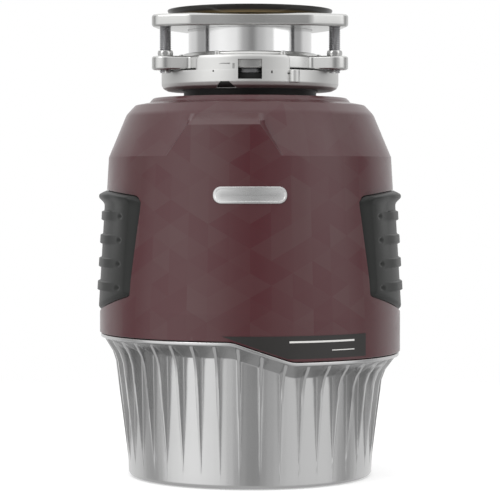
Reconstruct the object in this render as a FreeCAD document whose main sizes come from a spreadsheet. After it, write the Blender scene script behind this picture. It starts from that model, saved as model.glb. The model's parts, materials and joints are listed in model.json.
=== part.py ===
import FreeCAD, Part
import os
import re

import Sketcher

# A continuous-feed kitchen waste disposer with its three-bolt sink mount, in millimetres.
# The origin is on the motor axis in the underside of the base, +Z runs up to the sink and -Y is the front.

SIZES = [
    # sink flange, gasket and the three-bolt mount
    ("neck_radius", 42.6, "outside of the sink flange's neck"),
    ("neck_bore", 40.4, "inside of the neck"),
    ("neck_foot", 273.5, "lower end of the neck"),
    ("rim_radius", 57.0, "edge of the flange that lies in the sink"),
    ("rim_height", 320.3, "underside of the rim at its edge"),
    ("rim_sheet", 1.2, "thickness of the rim"),
    ("mount_bore", 43.2, "hole of both mounting plates"),
    ("plate_radius", 53.0, "backup flange, in the middle of a side"),
    ("plate_low", 307.5, "underside of the backup flange"),
    ("plate_high", 316.0, "top of the backup flange"),
    ("ring_radius", 56.0, "round part of the upper mounting ring"),
    ("ring_low", 278.4, "underside of the upper mounting ring"),
    ("ring_high", 287.8, "top of the upper mounting ring"),
    ("collar_radius", 46.5, "raised collar on the mounting ring"),
    ("collar_high", 291.0, "top of that collar"),
    ("lug_reach", 66.2, "axis to each mounting bolt"),
    ("lug_end", 9.2, "radius of a lug's rounded end"),
    ("plate_flare", 0.79, "backup flange: slope of a lug's flank, as a sine"),
    ("bend_east", 22.5, "backup flange: where that flank meets the side, across the lug"),
    ("bend_north", 60.4, "the same, along the lug"),
    ("ring_flare", 0.25, "mounting ring: slope of a lug's flank, as a sine"),
    ("ring_flank", 27.0, "mounting ring: length of that flank"),
    ("bolt_radius", 4.0, "mounting bolts"),
    ("bolt_foot", 276.4, "lower, slotted end of the mounting bolts"),
    ("nut_radius", 6.3, "jam nuts, across their corners"),
    ("nut_height", 3.8, "jam nuts"),
    ("clip_radius", 45.4, "outside of the snap ring"),
    ("clip_low", 276.2, "underside of the snap ring"),
    ("clip_high", 278.4, "top of the snap ring"),
    # lower mounting ring, which turns to lock
    ("lock_radius", 61.3, "outside of the locking ring"),
    ("lock_low", 265.5, "underside of the locking ring"),
    ("lock_shelf", 268.3, "top of its inward shelf"),
    ("lock_high", 277.9, "top of its low wall"),
    ("lock_bore", 47.2, "hole in the shelf"),
    ("lock_wall", 57.0, "inside of its wall"),
    ("ramp_high", 287.6, "top of the three raised ramps"),
    ("ramp_half", 31, "half of a ramp's turn, in degrees"),
    ("ramp_turn", 5.3, "middle of a ramp from its window, in degrees"),
    ("window_width", 16.0, "window in each ramp"),
    ("window_low", 271.2, "sill of the window"),
    ("window_high", 284.6, "head of the window"),
    ("loop_turn", 28.7, "wrench loop, in degrees from the window"),
    ("loop_radius", 3.6, "outside of the wrench loop"),
    ("loop_bore", 1.8, "hole of the wrench loop"),
    # rubber between the sink mount and the hopper
    ("boot_radius", 45.9, "skirt of the mounting gasket"),
    ("boot_low", 260.7, "lower end of that skirt"),
    ("boot_rim", 52.0, "widest part of the gasket"),
    ("boot_top", 275.8, "top of the gasket"),
    ("boot_bore", 37.5, "throat of the gasket"),
    ("baffle_radius", 39.9, "rim of the removable splash baffle"),
    ("baffle_low", 250.0, "tips of the baffle's flaps"),
    ("baffle_hole", 13.0, "hole between the flaps"),
    ("flap_slit", 1.6, "gap between two flaps"),
    # stainless hopper and grinding parts
    ("hopper_radius", 80.0, "outside of the grinding hopper"),
    ("hopper_sheet", 1.6, "its wall"),
    ("hopper_neck", 43.0, "outside of its neck"),
    ("hopper_lip", 50.0, "its rolled top lip"),
    ("lip_low", 269.9, "underside of the lip"),
    ("lip_high", 271.4, "top of the lip"),
    ("hopper_foot", 173.5, "underside of its lower flange"),
    ("flange_radius", 84.0, "lower flange, and the drain housing's"),
    ("shoulder_low", 237.0, "start of the cone"),
    ("shoulder_high", 257.0, "end of the cone"),
    ("grind_radius", 74.6, "inside of the stationary shredder ring"),
    ("grind_outside", 79.6, "outside of the shredder ring"),
    ("grind_low", 150.0, "underside of the shredder ring"),
    ("grind_high", 171.8, "top of the shredder ring"),
    ("tooth_count", 24, "slots in the shredder ring"),
    ("tooth_width", 4.2, "width of a slot"),
    ("table_radius", 73.6, "turntable"),
    ("table_low", 156.0, "underside of the turntable"),
    ("table_sheet", 2.5, "thickness of the turntable"),
    ("pivot_reach", 44.0, "axis to each swivel lug's rivet"),
    ("pivot_radius", 4.0, "shank of the rivet"),
    ("swivel_low", 158.9, "underside of a swivel lug"),
    ("swivel_high", 166.4, "top of a swivel lug"),
    # drain housing, which is also the motor's upper end frame
    ("drain_floor", 116.0, "floor of the drain chamber"),
    ("drain_under", 112.0, "underside of that floor"),
    ("drain_wall", 81.5, "outside of the drain housing"),
    ("drain_top", 172.0, "top of its flange"),
    ("outlet_height", 132.9, "centre of the discharge outlet"),
    ("outlet_bore", 16.5, "bore of the outlet"),
    ("outlet_radius", 20.0, "outside of the outlet"),
    ("outlet_face", 108.0, "axis to the face of the outlet"),
    ("outlet_plate", 7.0, "thickness of its two-hole flange"),
    ("outlet_half", 29.0, "outlet centre to each flange hole"),
    ("outlet_ear", 8.5, "radius round each flange hole"),
    ("tapped_hole", 2.7, "flange holes"),
    ("inlet_height", 226.0, "centre of the dishwasher inlet"),
    ("inlet_turn", 125, "its direction about the axis, in degrees"),
    ("inlet_radius", 11.1, "outside of the dishwasher inlet"),
    ("inlet_bore", 8.6, "bore of the dishwasher inlet"),
    ("inlet_end", 111.0, "axis to the end of the inlet"),
    ("inlet_collar", 96.5, "axis to the end of its collar"),
    # motor
    ("stator_radius", 70.0, "stator laminations"),
    ("stator_bore", 42.5, "hole for the rotor"),
    ("stator_low", 58.0, "lower face of the stator"),
    ("stator_high", 96.0, "upper face of the stator"),
    ("slot_count", 24, "winding slots"),
    ("slot_width", 6.0, "width of a slot"),
    ("slot_depth", 17.5, "depth of a slot"),
    ("winding_in", 45.5, "inside of the windings"),
    ("winding_out", 59.5, "outside of the windings"),
    ("winding_over", 13.0, "end turns beyond the stator"),
    ("rotor_radius", 42.0, "rotor laminations"),
    ("shaft_radius", 8.0, "rotor shaft"),
    ("journal_radius", 6.5, "its journals"),
    ("shaft_foot", 7.0, "lower end of the shaft"),
    ("shaft_tip", 168.0, "threaded tip of the shaft"),
    ("hex_size", 6.4, "hexagon socket, across its flats"),
    ("frame_skin", 4.0, "wall of the motor's end frames"),
    ("frame_low", 34.0, "underside of the lower end frame"),
    ("bolt_circle", 74.5, "axis to each motor bolt"),
    ("running_gap", 0.1, "radial clearance of a running fit"),
    # finned base
    ("base_radius", 84.4, "foot of the base"),
    ("base_skin", 3.0, "its wall and floor"),
    ("base_draft", 2.2, "how much wider the wall is at the rim"),
    ("fin_count", 40, "cooling fins"),
    ("fin_turn", 4.5, "first fin, in degrees from the X axis"),
    ("fin_sheet", 1.6, "thickness of a fin"),
    ("fin_foot", 12.0, "where a fin runs out"),
    ("fin_reach", 94.2, "outside of the fins at their top"),
    ("fin_top", 83.5, "top of a fin below the high rim"),
    ("rim_out", 103.4, "outside of the base's rim"),
    ("flare_high", 93.5, "where the high rim's flare ends"),
    ("part_line", 85.6, "joint of shroud and base, right side"),
    ("part_step", 13.4, "how much higher it is on the left"),
    ("step_left", -11.7, "left end of the sloping joint"),
    ("step_right", 28.0, "right end of the sloping joint"),
    # shroud
    ("shroud_radius", 104.2, "widest part of the shroud"),
    ("shroud_sheet", 3.4, "its wall"),
    ("side_low", 112.0, "start of the drafted side"),
    ("side_high", 219.6, "top of the drafted side"),
    ("side_radius", 97.8, "its radius there"),
    ("shoulder_radius", 85.5, "top of the sloping shoulder"),
    ("shoulder_top", 249.0, "height of that"),
    ("crown_radius", 79.5, "outer edge of the crown"),
    ("crown_low", 255.4, "height of that"),
    ("cap_radius", 68.8, "round cap on the crown"),
    ("cap_low", 257.3, "foot of the cap"),
    ("cap_high", 260.4, "top of the cap"),
    ("cap_bore", 47.6, "hole in the cap"),
    ("shield_top", 241.7, "top of the raised front shield"),
    ("shield_radius", 96.5, "its radius there"),
    ("shield_left", -55.4, "lower left corner of the shield"),
    ("shield_right", 21.5, "lower right corner"),
    ("shield_in_left", -42.2, "upper left corner"),
    ("shield_in_right", 7.9, "upper right corner"),
    # grips, label and badge
    ("grip_proud", 1.0, "how far a grip stands out of the shroud"),
    ("grip_sunk", 1.8, "how deep it is set in"),
    ("grip_gap", 0.2, "clearance in its recess"),
    ("grip_top", 196.8, "top of a grip"),
    ("grip_top_half", 67.2, "half of its width at the top"),
    ("grip_low_half", 64.0, "half of its width at the bottom"),
    ("grip_corner", 127.0, "lower corners"),
    ("grip_point", 113.5, "lowest point"),
    ("lip_reach", 104.6, "tip of the finger lip"),
    ("rib_first", 131.6, "centre of the lowest rib"),
    ("rib_pitch", 16.0, "one rib to the next"),
    ("rib_height", 6.4, "height of a rib"),
    ("rib_proud", 1.9, "how far a rib stands out of the grip"),
    ("rib_half", 50.0, "half of a rib's width"),
    ("label_sheet", 0.4, "thickness of the label band"),
    ("label_low", 87.6, "lower edge of the label"),
    ("label_high", 102.4, "upper edge of the label"),
    ("label_end", 76.4, "right end of the label"),
    ("badge_height", 194.0, "centre of the badge"),
    ("badge_half", 24.0, "half of its length"),
    ("badge_end", 5.5, "radius of its ends"),
    ("badge_sheet", 0.9, "how far it stands out"),
    # electrics in the base
    ("reset_radius", 5.0, "reset button"),
    ("reset_low", 1.4, "face of the button, set into the floor"),
    ("wrench_hole", 9.0, "hole below the shaft"),
    ("conduit_bore", 11.1, "hole for the supply cable"),
    ("conduit_reach", 46.0, "axis to that hole"),
    ("cover_width", 56.0, "cover of the wiring bay"),
    ("cover_depth", 34.0, "its other side"),
    ("cover_west", -46.0, "its left edge"),
    ("cover_south", -59.0, "its front edge"),
    ("reset_east", 27.0, "reset button, along X"),
    ("reset_north", -45.0, "reset button, along Y"),
    ("ground_east", 14.0, "ground screw, along X"),
    ("ground_north", -27.0, "ground screw, along Y"),
    ("post_reach", 66.0, "axis to the posts under the motor"),
    ("base_screw", 2.1, "radius of the base screws"),
    ("motor_bolt", 2.4, "radius of the motor bolts"),
    ("bush_radius", 11.1, "outside of both bearing bushes"),
    ("capacitor_radius", 13.5, "start capacitor"),
    ("capacitor_north", 42.0, "its axis, along Y"),
    ("capacitor_height", 17.6, "its axis, along Z"),
    ("foam_in", 86.6, "inside of the sound insulation"),
    ("foam_out", 94.2, "its outside"),
    ("foam_low", 112.0, "its lower end"),
    ("foam_high", 214.0, "its upper end"),
]

doc = FreeCAD.newDocument("WasteDisposer")
sheet = doc.addObject("Spreadsheet::Sheet", "Sizes")
NAMES = {name for name, value, note in SIZES}
parts = []


def fill_sheet():
    for row, (name, value, note) in enumerate(SIZES, 1):
        sheet.set(f"A{row}", name)
        sheet.set(f"B{row}", str(value))
        sheet.set(f"C{row}", note)
        sheet.setAlias(f"B{row}", name)
    doc.recompute()


def formula(text):
    """The text with each size's name pointed at its cell."""
    return re.sub(r"[a-z_]+", lambda m: f"Sizes.{m[0]}" if m[0] in NAMES else m[0], str(text))


def size(text):
    """What a formula comes to now."""
    return float(sheet.evalExpression(formula(text)))


def bind(thing, field, text):
    thing.setExpression(field, formula(text))


def new_body(label, written=True):
    body = doc.addObject("PartDesign::Body", label)
    body.Label = label
    if written:
        parts.append(body)
    return body


def keep(thing, label):
    """Makes a boolean's result one of the written sub-parts."""
    thing.Label = label
    parts.append(thing)
    return thing


def new_sketch(body, plane="XZ_Plane", lift="0", turn="0"):
    """A sketch on an origin plane, lifted along its normal, or turned about the vertical."""
    sketch = body.newObject("Sketcher::SketchObject", body.Label + "_sketch")
    role = next(o for o in body.Origin.OriginFeatures if o.Role == plane)
    sketch.AttachmentSupport = [(role, "")]
    sketch.MapMode = "FlatFace"
    upright = FreeCAD.Vector(0, 1, 0) if plane == "XZ_Plane" else FreeCAD.Vector(0, 0, 1)
    sketch.AttachmentOffset = FreeCAD.Placement(
        FreeCAD.Vector(0, 0, size(lift)), FreeCAD.Rotation(upright, size(turn))
    )
    if lift != "0":
        bind(sketch, "AttachmentOffset.Base.z", lift)
    if turn != "0":
        bind(sketch, "AttachmentOffset.Rotation.Angle", turn)
    return sketch


def draw(sketch, corners):
    """A closed run of straight edges, each corner a pair of formulas."""
    first = sketch.GeometryCount
    rough = [FreeCAD.Vector(size(across), size(up), 0) for across, up in corners]
    for i, corner in enumerate(rough):
        sketch.addGeometry(Part.LineSegment(corner, rough[(i + 1) % len(rough)]), False)
    for i in range(len(rough)):
        after = first + (i + 1) % len(rough)
        sketch.addConstraint(Sketcher.Constraint("Coincident", first + i, 2, after, 1))
    for i, corner in enumerate(corners):
        for kind, text in zip(("DistanceX", "DistanceY"), corner):
            at = sketch.addConstraint(Sketcher.Constraint(kind, -1, 1, first + i, 1, size(text)))
            bind(sketch, f"Constraints[{at}]", text)


def draw_circle(sketch, across, up, radius):
    centre = FreeCAD.Vector(size(across), size(up), 0)
    circle = Part.Circle(centre, FreeCAD.Vector(0, 0, 1), size(radius))
    at = sketch.addGeometry(circle, False)
    for kind, text in (("DistanceX", across), ("DistanceY", up)):
        row = sketch.addConstraint(Sketcher.Constraint(kind, -1, 1, at, 3, size(text)))
        bind(sketch, f"Constraints[{row}]", text)
    row = sketch.addConstraint(Sketcher.Constraint("Radius", at, size(radius)))
    bind(sketch, f"Constraints[{row}]", radius)


def turned(body, corners, cut=False):
    """Turns an outline of (radius, height) corners about the vertical axis."""
    sketch = new_sketch(body)
    draw(sketch, corners)
    kind = "PartDesign::Groove" if cut else "PartDesign::Revolution"
    feature = body.newObject(kind, body.Label + "_turned")
    feature.Profile = sketch
    feature.ReferenceAxis = (sketch, ["V_Axis"])
    feature.Angle = 360
    return feature


def raised(body, sketch, length, both_ways=False, other_way=False):
    return pulled(body, sketch, length, "PartDesign::Pad", both_ways, other_way)


def cut_out(body, sketch, length, both_ways=False, other_way=False):
    return pulled(body, sketch, length, "PartDesign::Pocket", both_ways, other_way)


def pulled(body, sketch, length, kind, both_ways, other_way):
    feature = body.newObject(kind, body.Label + "_pulled")
    feature.Profile = sketch
    feature.Length = size(length)
    bind(feature, "Length", length)
    feature.Midplane = both_ways
    # a pocket's own forward direction is against its sketch's normal
    feature.Reversed = other_way == (kind == "PartDesign::Pad")
    return feature


def repeat(body, features, count):
    """Repeats features all round the vertical axis."""
    pattern = body.newObject("PartDesign::PolarPattern", body.Label + "_pattern")
    pattern.Originals = features
    axis = next(o for o in body.Origin.OriginFeatures if o.Role == "Z_Axis")
    pattern.Axis = (axis, [""])
    pattern.Angle = 360
    pattern.Occurrences = int(size(count))
    bind(pattern, "Occurrences", count)
    body.Tip = pattern
    return pattern


def soften(body, radius, spots, kind="PartDesign::Fillet"):
    """Rounds, or with Chamfer bevels, the edges that pass through the given (x, y, z) spots."""
    doc.recompute()
    base = body.Tip
    vertices = [Part.Vertex(*(size(text) for text in spot)) for spot in spots]
    near = 0.02
    names = [
        f"Edge{i}"
        for i, edge in enumerate(base.Shape.Edges, 1)
        if any(edge.distToShape(vertex)[0] < near for vertex in vertices)
    ]
    if not names:
        raise ValueError(f"{body.Label} has no edge at {spots}")
    feature = body.newObject(kind, body.Label + "_edges")
    feature.Base = (base, names)
    field = "Radius" if kind.endswith("Fillet") else "Size"
    setattr(feature, field, size(radius))
    bind(feature, field, radius)
    return feature


def ring(label, inner, outer, low, high):
    """A plain turned ring, such as a bush or a washer."""
    body = new_body(label)
    turned(body, [(inner, low), (outer, low), (outer, high), (inner, high)])
    return body


def prism(label, corners, plane="XZ_Plane", start="0", length="130", turn="0", **ways):
    """A straight block on an outline; from the XZ plane it grows to the front."""
    body = new_body(label, written=False)
    sketch = new_sketch(body, plane, start, turn)
    draw(sketch, corners)
    raised(body, sketch, length, **ways)
    return body


def lathe(label, corners):
    """A turned solid that is only a tool for a boolean."""
    body = new_body(label, written=False)
    turned(body, corners)
    return body


def box(label, west, south, low, width, depth, height):
    block = doc.addObject("Part::Box", label)
    for field, text in (("Length", width), ("Width", depth), ("Height", height)):
        bind(block, field, text)
    for field, text in (("x", west), ("y", south), ("z", low)):
        bind(block, f"Placement.Base.{field}", text)
    return block


def rod(label, east, north, low, radius, height, direction=(0, 0, 1)):
    cylinder = doc.addObject("Part::Cylinder", label)
    turn = FreeCAD.Rotation(FreeCAD.Vector(0, 0, 1), FreeCAD.Vector(*direction))
    cylinder.Placement = FreeCAD.Placement(FreeCAD.Vector(), turn)
    bind(cylinder, "Radius", radius)
    bind(cylinder, "Height", height)
    for field, text in (("x", east), ("y", north), ("z", low)):
        bind(cylinder, f"Placement.Base.{field}", text)
    return cylinder


def boolean(kind, label, base, *tools):
    """A Cut, Fuse or Common of document objects."""
    if kind == "Cut":
        tool = tools[0] if len(tools) == 1 else boolean("Fuse", label + "_tools", *tools)
        result = doc.addObject("Part::Cut", label)
        result.Base = base
        result.Tool = tool
        return result
    result = doc.addObject("Part::Multi" + kind, label)
    result.Shapes = [base, *tools]
    return result


def around(label, thing, count, first="0"):
    """Copies of an object at equal turns about the axis, as one compound of separate solids."""
    copies = doc.addObject("Part::Compound", label)
    links = []
    for i in range(count):
        link = doc.addObject("App::Link", f"{label}_{i + 1}")
        link.LinkedObject = thing
        turn = FreeCAD.Rotation(FreeCAD.Vector(0, 0, 1), size(first) + 360 * i / count)
        link.Placement = FreeCAD.Placement(FreeCAD.Vector(), turn).multiply(thing.Placement)
        links.append(link)
    copies.Links = links
    return copies


# ---- sink flange and three-bolt mount ----

def sink_flange():
    body = new_body("sink_flange")
    turned(body, [
        ("neck_bore", "neck_foot"),
        ("neck_radius", "neck_foot"),
        ("neck_radius", "plate_high + 0.3"),
        ("rim_radius", "rim_height"),
        ("rim_radius + 0.1", "rim_height + rim_sheet"),
        ("neck_radius + 1", "plate_high + 2.2"),
        ("neck_bore", "plate_high - 1"),
    ])
    turned(body, [
        ("neck_radius - 0.6", "clip_low"),
        ("neck_radius + 1", "clip_low"),
        ("neck_radius + 1", "clip_high"),
        ("neck_radius - 0.6", "clip_high"),
    ], cut=True)


def fibre_gasket():
    body = new_body("fibre_gasket")
    slope = "(rim_height - plate_high - 0.3) / (rim_radius - neck_radius)"
    turned(body, [
        ("mount_bore + 1", "plate_high"),
        ("plate_radius", "plate_high"),
        ("rim_radius - 0.5", "rim_height - 0.6"),
        ("rim_radius - 0.5", f"plate_high + 0.25 + {slope} * (rim_radius - 0.5 - neck_radius)"),
        ("mount_bore + 1", f"plate_high + 0.25 + {slope} * (mount_bore + 1 - neck_radius)"),
    ])


def lugged_plate(label, radius, low, high, flare, roots):
    """A round plate with three bolt lugs, the first at the back; roots are a lug's corners inward."""
    body = new_body(label)
    turned(body, [(0, low), (radius, low), (radius, high), (0, high)])
    arm = new_sketch(body, "XY_Plane", low)
    corners = [(f"lug_end * sqrt(1 - {flare} * {flare})", f"lug_reach + lug_end * {flare}"), *roots]
    draw(arm, corners[::-1] + [(f"-({east})", north) for east, north in corners])
    bar = raised(body, arm, f"{high} - {low}")
    tip = new_sketch(body, "XY_Plane", low)
    draw_circle(tip, 0, "lug_reach", "lug_end")
    end = raised(body, tip, f"{high} - {low}")
    repeat(body, [bar, end], 3)
    return body


def drill_mount(body, low, high, hole):
    """Bores the neck's hole and the three bolt holes through a lugged plate."""
    top, under = f"{high} + 1", f"{low} - 1"
    turned(body, [(0, under), ("mount_bore", under), ("mount_bore", top), (0, top)], cut=True)
    sketch = new_sketch(body, "XY_Plane", under)
    draw_circle(sketch, 0, "lug_reach", hole)
    drilled = cut_out(body, sketch, f"{high} - {low} + 2")
    repeat(body, [drilled], 3)


def backup_flange():
    body = lugged_plate("backup_flange", "plate_radius", "plate_low", "plate_high", "plate_flare", [
        ("bend_east", "bend_north"),
        ("0.97 * plate_radius * sin(60)", "0.97 * plate_radius * cos(60)"),
    ])
    turned(body, [
        (0, "plate_low - 1"),
        ("mount_bore", "plate_low - 1"),
        ("mount_bore", "plate_high + 1"),
        (0, "plate_high + 1"),
    ], cut=True)
    dimple = new_sketch(body, "XY_Plane", "plate_low")
    draw_circle(dimple, 0, "lug_reach", "bolt_radius + 0.2")
    seat = cut_out(body, dimple, "2")
    repeat(body, [seat], 3)
    soften(body, "1.6", [("0", "-plate_radius", "plate_high")])


def upper_mounting_ring():
    rest = "sqrt(1 - ring_flare * ring_flare)"
    body = lugged_plate("upper_mounting_ring", "ring_radius", "ring_low", "ring_high", "ring_flare", [
        (f"lug_end * {rest} + ring_flank * ring_flare", f"lug_reach + lug_end * ring_flare - ring_flank * {rest}"),
    ])
    turned(body, [
        ("mount_bore - 1", "ring_high - 0.1"),
        ("collar_radius", "ring_high - 0.1"),
        ("collar_radius", "collar_high - 0.8"),
        ("collar_radius - 0.8", "collar_high"),
        ("mount_bore - 1", "collar_high"),
    ])
    drill_mount(body, "ring_low", "collar_high", "bolt_radius + 0.15")
    soften(body, "1.2", [("0", "-ring_radius", "ring_high")])


def backup_screws():
    shank = rod("backup_screw_shank", 0, "lug_reach", "bolt_foot", "bolt_radius",
                "plate_low + 1.2 - bolt_foot")
    blade = box("backup_screw_slot", "-0.7", "lug_reach - bolt_radius - 1", "bolt_foot - 1",
                "1.4", "2 * bolt_radius + 2", "2.6")
    screw = boolean("Cut", "backup_screw", shank, blade)
    keep(around("backup_screws", screw, 3), "backup_screws")
    nut = doc.addObject("Part::Prism", "jam_nut_blank")
    bind(nut, "Circumradius", "nut_radius")
    bind(nut, "Height", "nut_height")
    bind(nut, "Placement.Base.y", "lug_reach")
    bind(nut, "Placement.Base.z", "ring_high")
    hole = rod("jam_nut_hole", 0, "lug_reach", "ring_high - 1", "bolt_radius + 0.02",
               "nut_height + 2")
    keep(around("jam_nuts", boolean("Cut", "jam_nut", nut, hole), 3), "jam_nuts")


def snap_ring():
    body = new_body("snap_ring")
    turned(body, [
        ("neck_radius - 0.5", "clip_low + 0.1"),
        ("clip_radius", "clip_low + 0.1"),
        ("clip_radius", "clip_high"),
        ("neck_radius - 0.5", "clip_high"),
    ])
    gap = new_sketch(body, "XY_Plane", "clip_low - 1")
    draw(gap, [("-4", "neck_radius - 4"), ("4", "neck_radius - 4"),
               ("4", "clip_radius + 2"), ("-4", "clip_radius + 2")])
    cut_out(body, gap, "clip_high - clip_low + 2")


def lower_mounting_ring():
    body = new_body("lower_mounting_ring")
    turned(body, [
        ("lock_bore", "lock_low"),
        ("lock_radius - 4", "lock_low"),
        ("lock_radius", "lock_low + 3"),
        ("lock_radius", "lock_high"),
        ("lock_wall + 0.8", "lock_high"),
        ("lock_wall + 0.8", "lock_shelf"),
        ("lock_bore", "lock_shelf"),
    ])
    ramp = new_sketch(body)
    draw(ramp, [("lock_wall", "lock_shelf - 0.5"), ("lock_radius", "lock_shelf - 0.5"),
                ("lock_radius", "ramp_high"), ("lock_wall", "ramp_high")])
    sector = body.newObject("PartDesign::Revolution", "lower_mounting_ring_ramp")
    ramp.AttachmentOffset = FreeCAD.Placement(
        FreeCAD.Vector(), FreeCAD.Rotation(FreeCAD.Vector(0, 1, 0), -90 - size("ramp_turn"))
    )
    sector.Profile = ramp
    sector.ReferenceAxis = (ramp, ["V_Axis"])
    sector.Midplane = True
    sector.Angle = 2 * size("ramp_half")
    bind(sector, "Angle", "2 * ramp_half")
    opening = new_sketch(body)
    half = "window_width / 2"
    draw(opening, [(f"-{half}", "window_low"), (half, "window_low"),
                   (half, "window_high"), (f"-{half}", "window_high")])
    window = cut_out(body, opening, "lock_radius + 5")
    repeat(body, [sector, window], 3)
    for across, along in (("", "-"), ("-", "")):
        east = f"{across}(lock_radius + 0.6) * sin(loop_turn)"
        north = f"{along}(lock_radius + 0.6) * cos(loop_turn)"
        loop = new_sketch(body, "XY_Plane", "lock_low + 3")
        draw_circle(loop, east, north, "loop_radius")
        raised(body, loop, "lock_high - lock_low - 3")
        hole = new_sketch(body, "XY_Plane", "lock_low + 2")
        draw_circle(hole, east, north, "loop_bore")
        cut_out(body, hole, "lock_high - lock_low")


def mounting_gasket():
    """One moulding that wraps the hopper's lip and holds the neck and the baffle."""
    body = new_body("mounting_gasket")
    turned(body, [
        ("hopper_neck + 0.1", "boot_low"),
        ("boot_radius", "boot_low"),
        ("boot_radius", "lock_shelf + 0.3"),
        ("boot_rim", "lock_shelf + 0.3"),
        ("boot_rim", "boot_top"),
        ("neck_radius + 0.3", "boot_top"),
        ("neck_radius + 0.3", "neck_foot"),
        ("neck_bore + 1", "neck_foot"),
        ("neck_bore + 1", "lip_high + 0.7"),
        ("boot_bore", "lip_high + 0.7"),
        ("boot_bore", "lip_high - 6"),
        ("hopper_neck - hopper_sheet - 0.1", "lip_high - 6"),
        ("hopper_neck - hopper_sheet - 0.1", "lip_high + 0.1"),
        ("hopper_lip + 0.1", "lip_high + 0.1"),
        ("hopper_lip + 0.1", "lip_low - 0.1"),
        ("hopper_neck + 0.1", "lip_low - 0.1"),
    ])


def splash_baffle():
    body = new_body("splash_baffle")
    seat = "lip_high + 0.8"
    turned(body, [
        ("baffle_radius - 4", seat),
        ("baffle_radius", seat),
        ("baffle_radius", f"{seat} + 1"),
        ("baffle_radius - 4.5", f"{seat} + 1"),
        ("baffle_hole", "baffle_low + 2.6"),
        ("baffle_hole", "baffle_low"),
        ("baffle_radius - 4", "baffle_low + 12"),
    ])
    slit = new_sketch(body, "XY_Plane", "baffle_low - 1")
    half = "flap_slit / 2"
    draw(slit, [("baffle_hole - 2", f"-{half}"), ("baffle_radius - 7", f"-{half}"),
                ("baffle_radius - 7", half), ("baffle_hole - 2", half)])
    cut = cut_out(body, slit, "lip_high - baffle_low")
    repeat(body, [cut], 8)


# ---- hopper and grinding parts ----

def hopper():
    body = new_body("hopper")
    skin, foot = "hopper_sheet", "hopper_foot"
    turned(body, [
        (f"hopper_radius - {skin}", foot),
        ("flange_radius", foot),
        ("flange_radius", f"{foot} + {skin}"),
        ("hopper_radius", f"{foot} + {skin}"),
        ("hopper_radius", "shoulder_low"),
        ("hopper_neck", "shoulder_high"),
        ("hopper_neck", "lip_low"),
        ("hopper_lip", "lip_low"),
        ("hopper_lip", "lip_high"),
        (f"hopper_neck - {skin}", "lip_high"),
        (f"hopper_neck - {skin}", f"shoulder_high - {skin}"),
        (f"hopper_radius - {skin}", f"shoulder_low - {skin} * 0.6"),
    ])
    hole = new_sketch(body, "XZ_Plane", turn="inlet_turn - 90")
    draw_circle(hole, 0, "inlet_height", "inlet_bore + 1.6")
    cut_out(body, hole, "flange_radius + 6", other_way=True)


def hopper_seal():
    ring("hopper_seal", "drain_wall - 1.5", "flange_radius", "drain_top", "hopper_foot")


def hopper_band():
    body = new_body("hopper_band")
    turned(body, [
        ("drain_wall + 0.4", "drain_top - 4.2"),
        ("flange_radius + 1.9", "drain_top - 4.2"),
        ("flange_radius + 1.9", "hopper_foot + hopper_sheet + 1.6"),
        ("hopper_radius + 1.5", "hopper_foot + hopper_sheet + 1.6"),
        ("hopper_radius + 1.5", "hopper_foot + hopper_sheet + 0.2"),
        ("flange_radius + 0.3", "hopper_foot + hopper_sheet + 0.2"),
        ("flange_radius + 0.3", "drain_top - 2.6"),
        ("drain_wall + 0.4", "drain_top - 2.6"),
    ])


def dishwasher_inlet():
    body = new_body("dishwasher_inlet")
    turn = "inlet_turn - 90"
    for radius, reach in (("inlet_radius + 3", "hopper_radius + 4"),
                          ("inlet_radius + 0.8", "inlet_collar"),
                          ("inlet_radius", "inlet_end")):
        sketch = new_sketch(body, turn=turn)
        draw_circle(sketch, 0, "inlet_height", radius)
        raised(body, sketch, reach, other_way=True)
    hollow_below(body, "hopper_radius")
    spigot = new_sketch(body, turn=turn)
    draw_circle(spigot, 0, "inlet_height", "inlet_bore + 1.5")
    raised(body, spigot, "hopper_radius + 2", other_way=True)
    hollow_below(body, "hopper_radius - hopper_sheet - 1")
    bore = new_sketch(body, turn=turn)
    draw_circle(bore, 0, "inlet_height", "inlet_bore")
    cut_out(body, bore, "inlet_end + 2", other_way=True)


def hollow_below(body, radius):
    """Clears everything nearer to the axis than a radius, over the inlet's height."""
    low, high = "inlet_height - inlet_radius - 20", "inlet_height + inlet_radius + 20"
    turned(body, [(0, low), (radius, low), (radius, high), (0, high)], cut=True)


def dishwasher_plug():
    """The knock-out disc that closes the inlet until a dishwasher is connected."""
    plug = rod("dishwasher_plug", 0, 0, "inlet_height", "inlet_bore - 0.05", "2.4")
    turn = FreeCAD.Rotation(FreeCAD.Vector(0, 0, 1), size("inlet_turn")).multiply(
        FreeCAD.Rotation(FreeCAD.Vector(0, 1, 0), 90)
    )
    plug.Placement = FreeCAD.Placement(FreeCAD.Vector(), turn)
    bind(plug, "Placement.Base.x", "(hopper_radius + 1) * cos(inlet_turn)")
    bind(plug, "Placement.Base.y", "(hopper_radius + 1) * sin(inlet_turn)")
    bind(plug, "Placement.Base.z", "inlet_height")
    keep(plug, "dishwasher_plug")


def shredder_ring():
    body = ring("shredder_ring", "grind_radius", "grind_outside", "grind_low", "grind_high")
    slot = new_sketch(body, "XY_Plane", "grind_low + 5")
    half = "tooth_width / 2"
    draw(slot, [("grind_radius - 3", f"-{half}"), ("grind_radius + 2.2", f"-{half}"),
                ("grind_radius + 2.2", half), ("grind_radius - 3", half)])
    cut = cut_out(body, slot, "grind_high - grind_low")
    notch = new_sketch(body, "XY_Plane", "grind_low - 1", turn="180 / tooth_count")
    draw(notch, [("grind_radius - 3", f"-{half}"), ("grind_radius + 1.4", f"-{half}"),
                 ("grind_radius + 1.4", half), ("grind_radius - 3", half)])
    under = cut_out(body, notch, "5")
    repeat(body, [cut, under], "tooth_count")


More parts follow.
